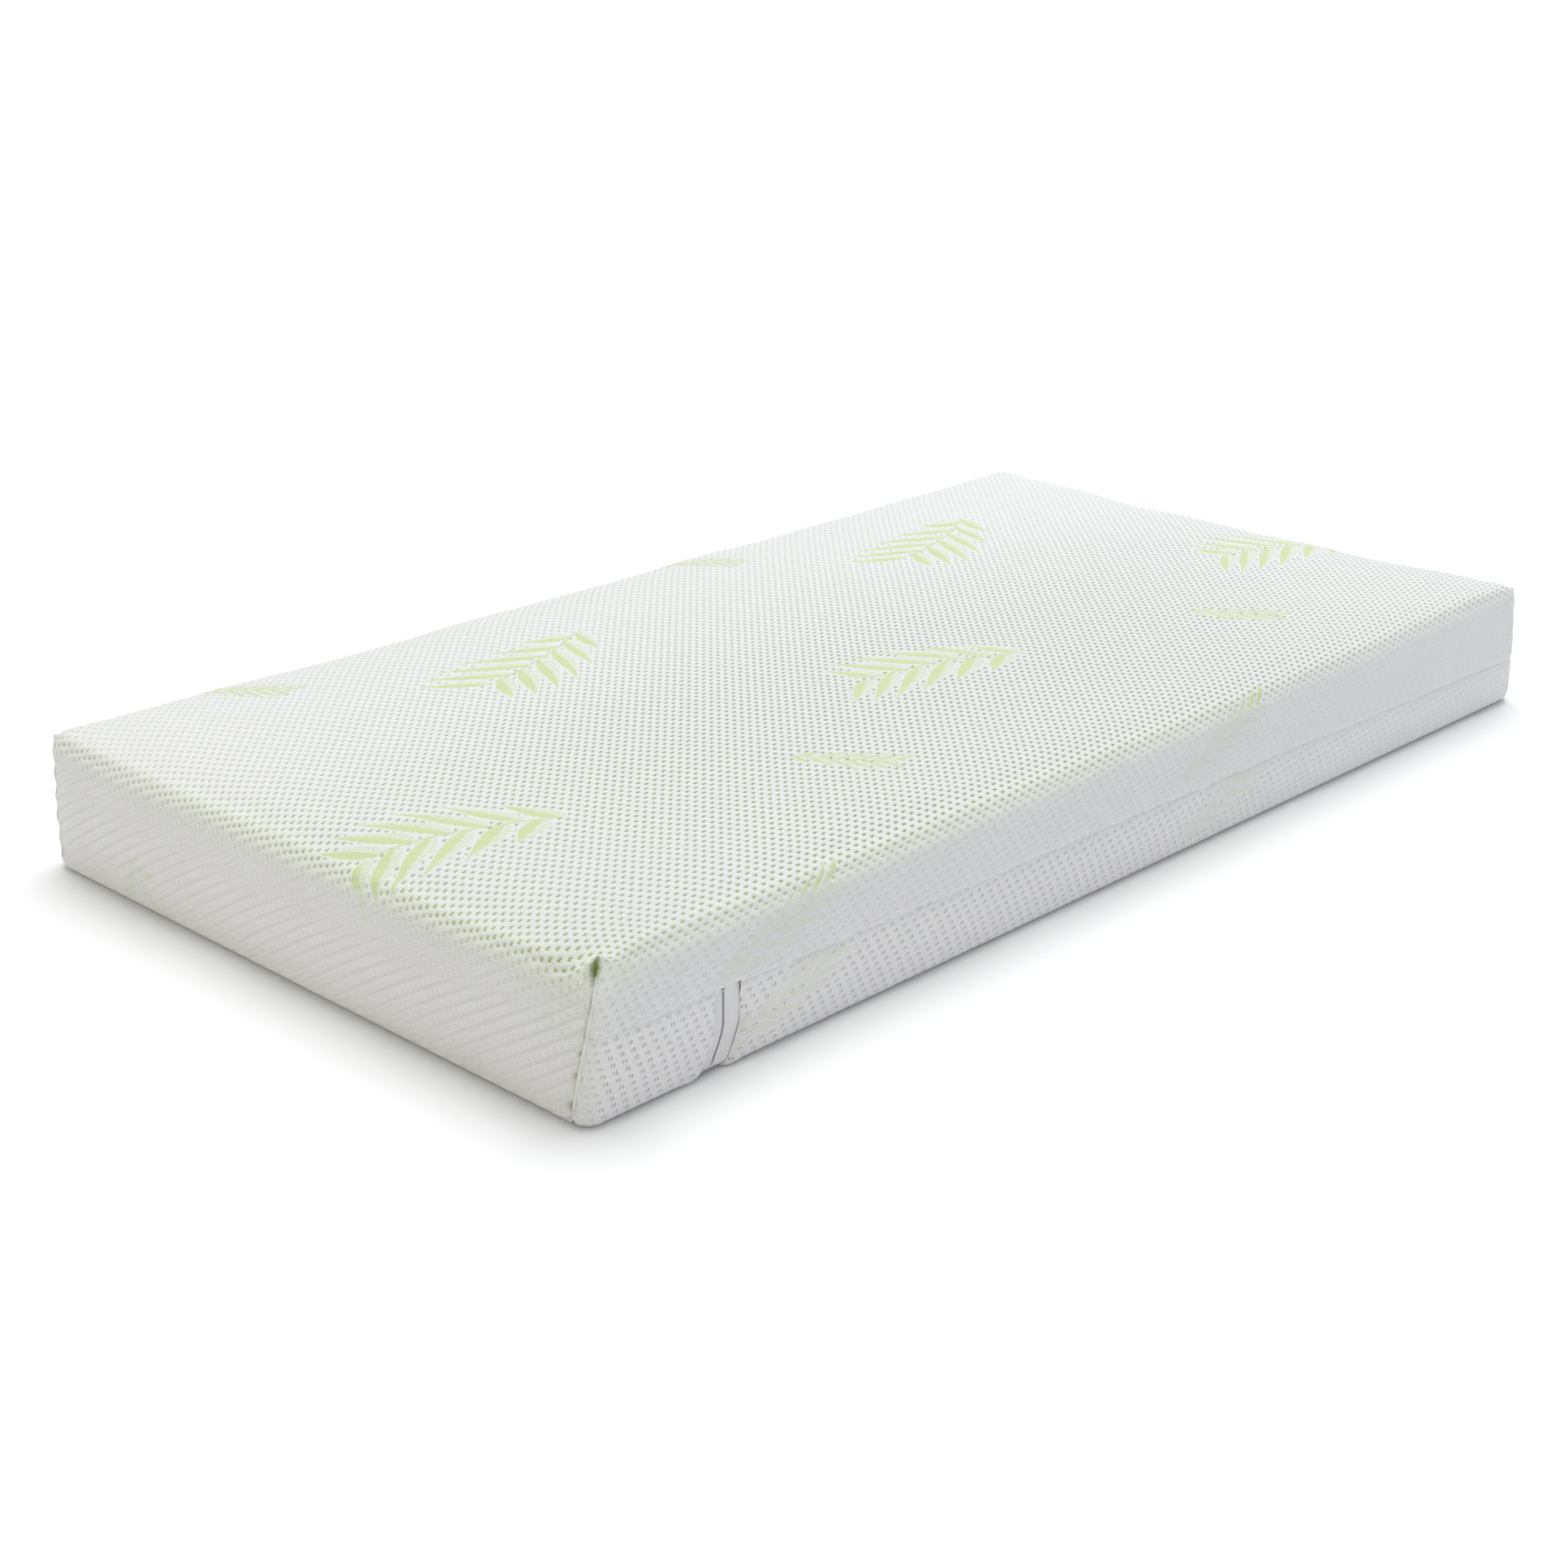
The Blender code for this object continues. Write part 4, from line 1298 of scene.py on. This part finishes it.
def makeSlider(material):
    # two shield plates round the coils, side flanges, a wedge between them, and the puller's bail
    low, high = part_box("zip_slider_body")
    middleY, middleZ = (low.y + high.y) / 2, (low.z + high.z) / 2
    halfY, halfZ = (high.y - low.y) / 2, (high.z - low.z) / 2
    outer = low.x + 0.0022
    parts = [
        slabPart(outer, halfY, halfZ, middleY, middleZ, 0.0011, 0.00028, 3.2, 0.28, 0.00012),
        slabPart(high.x - 0.0011, halfY, halfZ, middleY, middleZ, 0.0011, 0.00028, 3.2, 0.28),
        slabPart(
            outer + 0.0004,
            0.0009,
            0.0022,
            middleY,
            high.z - 0.0026,
            high.x - outer - 0.0008,
            0.0002,
            2.0,
            0.5,
        ),
    ]
    for side in (-1, 1):
        # a flange: a thin upright wall at each side, bent in like the plates' outline
        rings = []
        for z in np.linspace(low.z + 0.0010, high.z - 0.0018, 9):
            share = (z - middleZ) / halfZ
            wide = (
                halfY * (1 - 0.28 * (1 - share) / 2) * (1 - abs(share) ** 3.2) ** (1 / 3.2) - 0.0001
            )
            y0, y1 = middleY + side * (wide - 0.0007), middleY + side * wide
            x0, x1 = outer + 0.0004, outer + 0.0019
            rings.append([[x0, y0, z], [x1, y0, z], [x1, y1, z], [x0, y1, z]])
        parts.append(loftPart(np.array(rings)))
    bail = np.array(
        [
            [outer + 0.0004, middleZ - 0.0018],
            [outer - 0.0010, middleZ - 0.0019],
            [low.x + 0.00045, middleZ - 0.0012],
            [low.x + 0.0004, middleZ + 0.0012],
            [low.x + 0.00055, middleZ + 0.0031],
            [outer - 0.0008, middleZ + 0.0039],
            [outer + 0.0004, middleZ + 0.0040],
        ]
    )
    fine = np.linspace(0, len(bail) - 1, 40)
    curve = np.stack(
        [
            np.interp(fine, np.arange(len(bail)), bail[:, 0]),
            np.full(40, middleY),
            np.interp(fine, np.arange(len(bail)), bail[:, 1]),
        ],
        -1,
    )
    for _ in range(3):
        curve[1:-1] = (curve[:-2] + 2 * curve[1:-1] + curve[2:]) / 4
    tube, tubeFaces = tubePart(curve, 0.00042, 10)
    tube[:, 1] = middleY + (tube[:, 1] - middleY) * 1.5
    parts.append((tube, np.concatenate([tubeFaces[:, [0, 1, 2]], tubeFaces[:, [0, 2, 3]]])))
    vertices, faces = joinParts(parts)
    piece = makePiece("zipSliderBody", vertices, faces, material, "slider", smooth=False)
    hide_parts("zip_slider_body")
    return piece


def makePuller(material):
    # a flat paddle with an eye: sections from the eye's rim to the outer edge, carried round it
    low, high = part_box("zip_puller")
    middleY, thick = (low.y + high.y) / 2, high.x - low.x
    halfY = (high.y - low.y) / 2
    angle = np.linspace(0, 2 * math.pi, 72, endpoint=False)
    c, s = np.cos(angle), np.sin(angle)
    eyeY, eyeZ = np.sign(c) * np.abs(c) ** 0.6 * 0.0011, np.sign(s) * np.abs(s) ** 0.6 * 0.0017
    eyeMiddle = high.z - 0.0010 - 0.0017
    outZ = (low.z + high.z) / 2 + np.sign(s) * np.abs(s) ** 0.45 * (high.z - low.z) / 2
    share = (high.z - outZ) / (high.z - low.z)
    wide = halfY * (0.62 + 0.38 * smoothStep(0.1, 0.9, share))
    outY = np.sign(c) * np.abs(c) ** 0.5 * wide
    bevel = 0.0002
    rings = []
    for place, across in (
        (0, 0.25),
        (0, 0.75),
        (0.06, 1),
        (0.5, 1),
        (0.93, 1),
        (1, 0.75),
        (1, 0.25),
        (0.93, 0),
        (0.5, 0),
        (0.06, 0),
    ):
        y = eyeY + (outY - eyeY) * place
        z = eyeMiddle + eyeZ + (outZ - eyeMiddle - eyeZ) * place
        x = low.x + thick * across
        dish = (
            0.00016
            * (1 if across == 0 else -1 if across == 1 else 0)
            * (0.2 < place < 0.8)
            * smoothStep(0.35, 0.6, share)
        )
        rings.append(np.stack([x + dish + 0 * y, middleY + y, z], -1))
    rings = np.array(rings)
    quads = gridFaces(len(rings), len(angle), True, True)
    triangles = np.concatenate([quads[:, [0, 1, 2]], quads[:, [0, 2, 3]]])
    vertices, triangles = orientOut(rings.reshape(-1, 3), triangles)
    piece = makePiece("zipPuller", vertices, triangles, material, "puller", smooth=False)
    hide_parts("zip_puller")
    return piece


print("zip")
tapeMaterial = makeTapeMaterial()
coilMaterial = makePlainNoise("zipCoil", (0.80, 0.81, 0.81), (0.70, 0.71, 0.72), 0.38, 700, 0.00005)
metalMaterial = makePlainNoise(
    "zipMetal", zipParts["metal"], (0.48, 0.48, 0.49), 0.30, 500, 0.00004, metallic=1.0
)
for side, place in ((-1, "foot"), (1, "head")):
    makeTape("zipTape" + place.title(), side, "zip_tape_" + place, tapeMaterial)
    makeCoil("zipCoil" + place.title(), side, "zip_coil_" + place, coilMaterial)
for name in ("left", "right"):
    low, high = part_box("zip_stop_" + name)
    size = high - low
    vertices, faces = slabPart(
        low.x,
        size.y / 2,
        size.z / 2,
        (low.y + high.y) / 2,
        (low.z + high.z) / 2,
        size.x,
        0.00025,
        4.0,
    )
    stop = makePiece(
        "zipStop" + name.title(), vertices, faces, metalMaterial, "mattress", smooth=False
    )
    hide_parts("zip_stop_" + name)
makeSlider(metalMaterial)
makePuller(metalMaterial)


# the inside: two foams and the stocking round them
inside = {
    "foam": (0.86, 0.84, 0.76),
    "memory": (0.90, 0.88, 0.70),
    "sock": (0.86, 0.86, 0.84),
    "cell": 0.011,
    "ease": 0.0012,
    "channelHalf": 0.0190,
    "channelDepth": 0.0068,
}


def makeBlock(name, low, high, material, replaced, channel):
    # a lattice shell rounded like the block, uneven by a fraction of a millimetre, with the
    # channel for the zip pressed into it: depth times a flat-topped step of the distance
    low, high = np.array(low), np.array(high)
    counts = np.maximum(((high - low) / inside["cell"]).astype(int), 4) + 1
    axes = [np.linspace(a, b, n) for a, b, n in zip(low, high, counts)]
    if channel:
        near = zipY + np.array([-0.025, -0.0206, -0.0190, -0.010, 0, 0.010, 0.0190, 0.0206, 0.025])
        far = axes[1][np.abs(axes[1] - zipY) > 0.028]
        axes[1] = np.sort(np.concatenate([far, near]))
    points, faces, _ = latticeShell(*axes)
    inset = halfWidth - high[0]
    topEdge = None if high[2] > 0.1 else 0.003
    placed, normal = roundBlock(points, high[0], high[1], low[2], high[2], inset, topEdge)
    shift = 0.0003 * ripples(placed, 21, 9, 0.06, 0.25) - inside["ease"]
    if channel:
        v = np.where(
            points[:, 0] > 0,
            halfWidth + height - points[:, 2],
            3 * halfWidth + height + points[:, 2],
        )
        v = np.where(points[:, 2] <= low[2] + 1e-6, 2 * halfWidth + height - points[:, 0], v)
        swing = zipSwing(v)
        placed[:, 1] += (
            swing * smoothStep(0.10, 0.02, np.abs(points[:, 1] - zipY)) * (placed[:, 2] < 0.09)
        )
        toZip = np.abs(points[:, 1] - zipY)
        shift -= (
            channel
            * smoothStep(inside["channelHalf"] + 0.0016, inside["channelHalf"], toZip)
            * smoothStep(0.078, 0.070, points[:, 2])
        )
    # the same settling as the cover, from the matching place on the block's outside
    outer = points * [halfWidth / high[0], halfLength / high[1], 1]
    floorZ = 0 if low[2] < 0.02 else low[2]
    outer[:, 2] = np.where(
        points[:, 2] > high[2] - 1e-6,
        height,
        np.where(points[:, 2] < low[2] + 1e-6, floorZ, points[:, 2]),
    )
    outside = (np.abs(outer[:, 0]) > halfWidth - 1e-6) | (np.abs(outer[:, 1]) > halfLength - 1e-6)
    outside |= (outer[:, 2] > height - 1e-6) if high[2] > 0.1 else False
    outer[:, 2] = np.where(
        (points[:, 2] > high[2] - 1e-6) & (high[2] < 0.1), points[:, 2], outer[:, 2]
    )
    around, outward = roundBlock(outer)
    settled = (soften(outer, around, outward) - around) * outside[:, None]
    piece = makePiece(name, placed + normal * shift[:, None] + settled, faces, material, "mattress")
    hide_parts(replaced)
    return piece


def makeFoam(name, colour, darker, cellSize):
    # open-cell foam: small round cells as pits, with painted shade in them whose strength changes
    # slowly
    material, nodes, links, shader = newMaterial(name, colour, 0.9, sheen=0.1)
    tree = material.node_tree
    cells = addTexture(tree, "Voronoi", Scale=1 / cellSize).outputs["Distance"]
    patches = addTexture(tree, "Noise", Scale=9).outputs["Fac"]
    pits = addRamp(tree, cells, 0.05, 0.5)
    deep = addMath(tree, "SUBTRACT", 1.0, pits)
    tone = addMath(tree, "MULTIPLY", deep, addRamp(tree, patches, 0.2, 0.8, 0.5, 1.0))
    # painted shade: the pits are mixed towards the darker colour, more strongly in slow patches
    links.new(addMix(tree, tone, colour, darker), shader.inputs["Base Color"])
    links.new(addBump(tree, pits, 0.7, cellSize * 0.4), shader.inputs["Normal"])
    return material


def makeSockMaterial():
    # thin plain knit: fine ribs down the sock crossed by rows of loops
    material, nodes, links, shader = newMaterial("stockinette", inside["sock"], 0.85, sheen=0.2)
    tree = material.node_tree
    ribs = addTexture(tree, "Wave", Scale=120, Distortion=0.6)
    rows = addTexture(tree, "Wave", Scale=170, Distortion=0.6)
    rows.bands_direction = "Y"
    weave = addMath(tree, "MULTIPLY", ribs.outputs["Fac"], rows.outputs["Fac"])
    links.new(addMix(tree, weave, (0.74, 0.74, 0.72), inside["sock"]), shader.inputs["Base Color"])
    links.new(addBump(tree, weave, 0.5, 0.0004), shader.inputs["Normal"])
    return material


print("foams and sock")
baseFoam = makeFoam("baseFoam", inside["foam"], (0.66, 0.63, 0.52), 0.0011)
memoryFoam = makeFoam("memoryFoam", inside["memory"], (0.72, 0.69, 0.48), 0.0007)
coreLow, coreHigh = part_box("base_foam_core")
makeBlock(
    "foamCore",
    coreLow,
    coreHigh,
    baseFoam,
    "base_foam_core",
    inside["channelDepth"] - 0.0034,
)
layerLow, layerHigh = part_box("memory_foam_layer")
makeBlock("memoryLayer", layerLow, layerHigh, memoryFoam, "memory_foam_layer", 0)
sockLow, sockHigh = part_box("inner_sock")
makeBlock(
    "innerSock",
    sockLow,
    sockHigh,
    makeSockMaterial(),
    "inner_sock",
    inside["channelDepth"] - 0.0029,
)


# the blank care label: a satin tag, sewn at one end, its free end lifting a little
label = {"lift": 0.0009, "wave": 0.00025, "gap": 0.0004}


def makeLabel():
    # a grid over the label's place on the wall, raised along the normal towards its free end
    low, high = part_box("care_label")
    y, z = np.meshgrid(
        np.linspace(low.y, high.y, 41), np.linspace(high.z, low.z, 29), indexing="ij"
    )
    box = np.stack([np.full_like(y, -halfWidth), y, z], -1)
    points, normal = coverPoint(box)
    down = (high.z - z) / (high.z - low.z)
    rise = (
        label["gap"]
        + label["lift"] * down**2
        + label["wave"] * np.sin(2 * math.pi * (y - low.y) / 0.031) * down
    )
    points = points + normal * rise[..., None]
    white = (0.86, 0.87, 0.87)
    material, nodes, links, shader = newMaterial("satinLabel", white, 0.42, sheen=0.3)
    tree = material.node_tree
    do = partial(addMath, tree)
    s, t = splitVector(tree, mapNamed(tree, "cloth"))
    ribs = do("SINE", do("MULTIPLY", t, 2 * math.pi / 0.00045))
    hem = addRamp(tree, do("ABSOLUTE", do("SUBTRACT", t, 0.0022)), 0.0003, 0.00012)
    dash = do("GREATER_THAN", do("SINE", do("MULTIPLY", s, 2 * math.pi / 0.0030)), -0.4)
    stitch = do("MULTIPLY", hem, dash)
    tone = addMix(tree, do("MULTIPLY", stitch, 0.7), white, (0.45, 0.48, 0.42))
    relief = do("ADD", do("MULTIPLY", ribs, 0.25), do("MULTIPLY", stitch, 0.6))
    links.new(tone, shader.inputs["Base Color"])
    links.new(addBump(tree, relief, 0.5, 0.0003), shader.inputs["Normal"])
    cloth = np.stack([y - low.y, high.z - z], -1).reshape(-1, 2)
    faces = gridFaces(*y.shape)
    piece = makePiece(
        "careLabel", points.reshape(-1, 3), faces, material, "mattress", layers={"cloth": cloth}
    )
    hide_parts("care_label")
    return piece


print("label")
makeLabel()


# floor, light and camera

studio = {
    "cameraPlace": (1.5351, -1.7085, 0.8793),
    "cameraAim": (0.0822, -0.1778, 0.06),
    "roll": 0.40,
    "lens": 58.23,
    "floor": (0.95, 0.95, 0.95),
    "sky": 0.485,
    "sun": 2.15,
    "sunFrom": (-0.40, 0.52, 1.6),
    "sunAngle": 50,
    "skyColour": (0.962, 0.982, 1.02),
}


def addLamp(name, kind, place, aim, power, colour):
    data = bpy.data.lights.new(name, kind)
    data.energy, data.color = power, colour
    lamp = bpy.data.objects.new(name, data)
    lamp.location = place
    aimObject(lamp, place, aim)
    bpy.context.scene.collection.objects.link(lamp)
    return data


def makeStudio():
    scene = bpy.context.scene
    floorMaterial, nodes, links, shader = newMaterial("paleFloor", studio["floor"], 0.9)
    bpy.ops.mesh.primitive_plane_add(size=120, location=(0, 0, 0))
    floor = bpy.context.object
    floor.name = "floor"
    floor.data.materials.append(floorMaterial)
    world = bpy.data.worlds.new("studioWorld")
    scene.world = world
    world.use_nodes = True
    background = world.node_tree.nodes["Background"]
    background.inputs["Color"].default_value = (*studio["skyColour"], 1)
    background.inputs["Strength"].default_value = studio["sky"]
    suns = {  # direction it comes from, power, angle, colour
        "softSun": (studio["sunFrom"], studio["sun"], studio["sunAngle"], (1, 1, 1)),
        "coolSide": ((1.0, 0.45, 0.35), 0.10, 60, (0.72, 0.82, 1.0)),
        "warmEnd": ((0.10, -1.0, 0.20), 0.30, 60, (1.0, 0.90, 0.16)),
    }
    for name, (place, power, angle, colour) in suns.items():
        addLamp(name, "SUN", place, (0, 0, 0), power, colour).angle = math.radians(angle)
    coolFar = addLamp(
        "coolFar", "AREA", (-0.25, 1.5, 1.0), (-0.1, 0.45, 0.12), 2.8, (0.66, 0.93, 1.0)
    )
    coolFar.size = 1.0
    data = bpy.data.cameras.new("camera")
    data.lens = studio["lens"]
    data.sensor_width = 36
    camera = bpy.data.objects.new("camera", data)
    camera.location = studio["cameraPlace"]
    aimObject(camera, studio["cameraPlace"], studio["cameraAim"], math.radians(studio["roll"]))
    scene.collection.objects.link(camera)
    scene.camera = camera
    scene.view_settings.view_transform = "Standard"


def aimObject(item, place, aim, roll=0.0):
    turn = (Vector(aim) - Vector(place)).to_track_quat("-Z", "Y").to_matrix()
    item.rotation_euler = (turn @ Matrix.Rotation(roll, 3, "Z")).to_euler()


print("studio")
makeStudio()
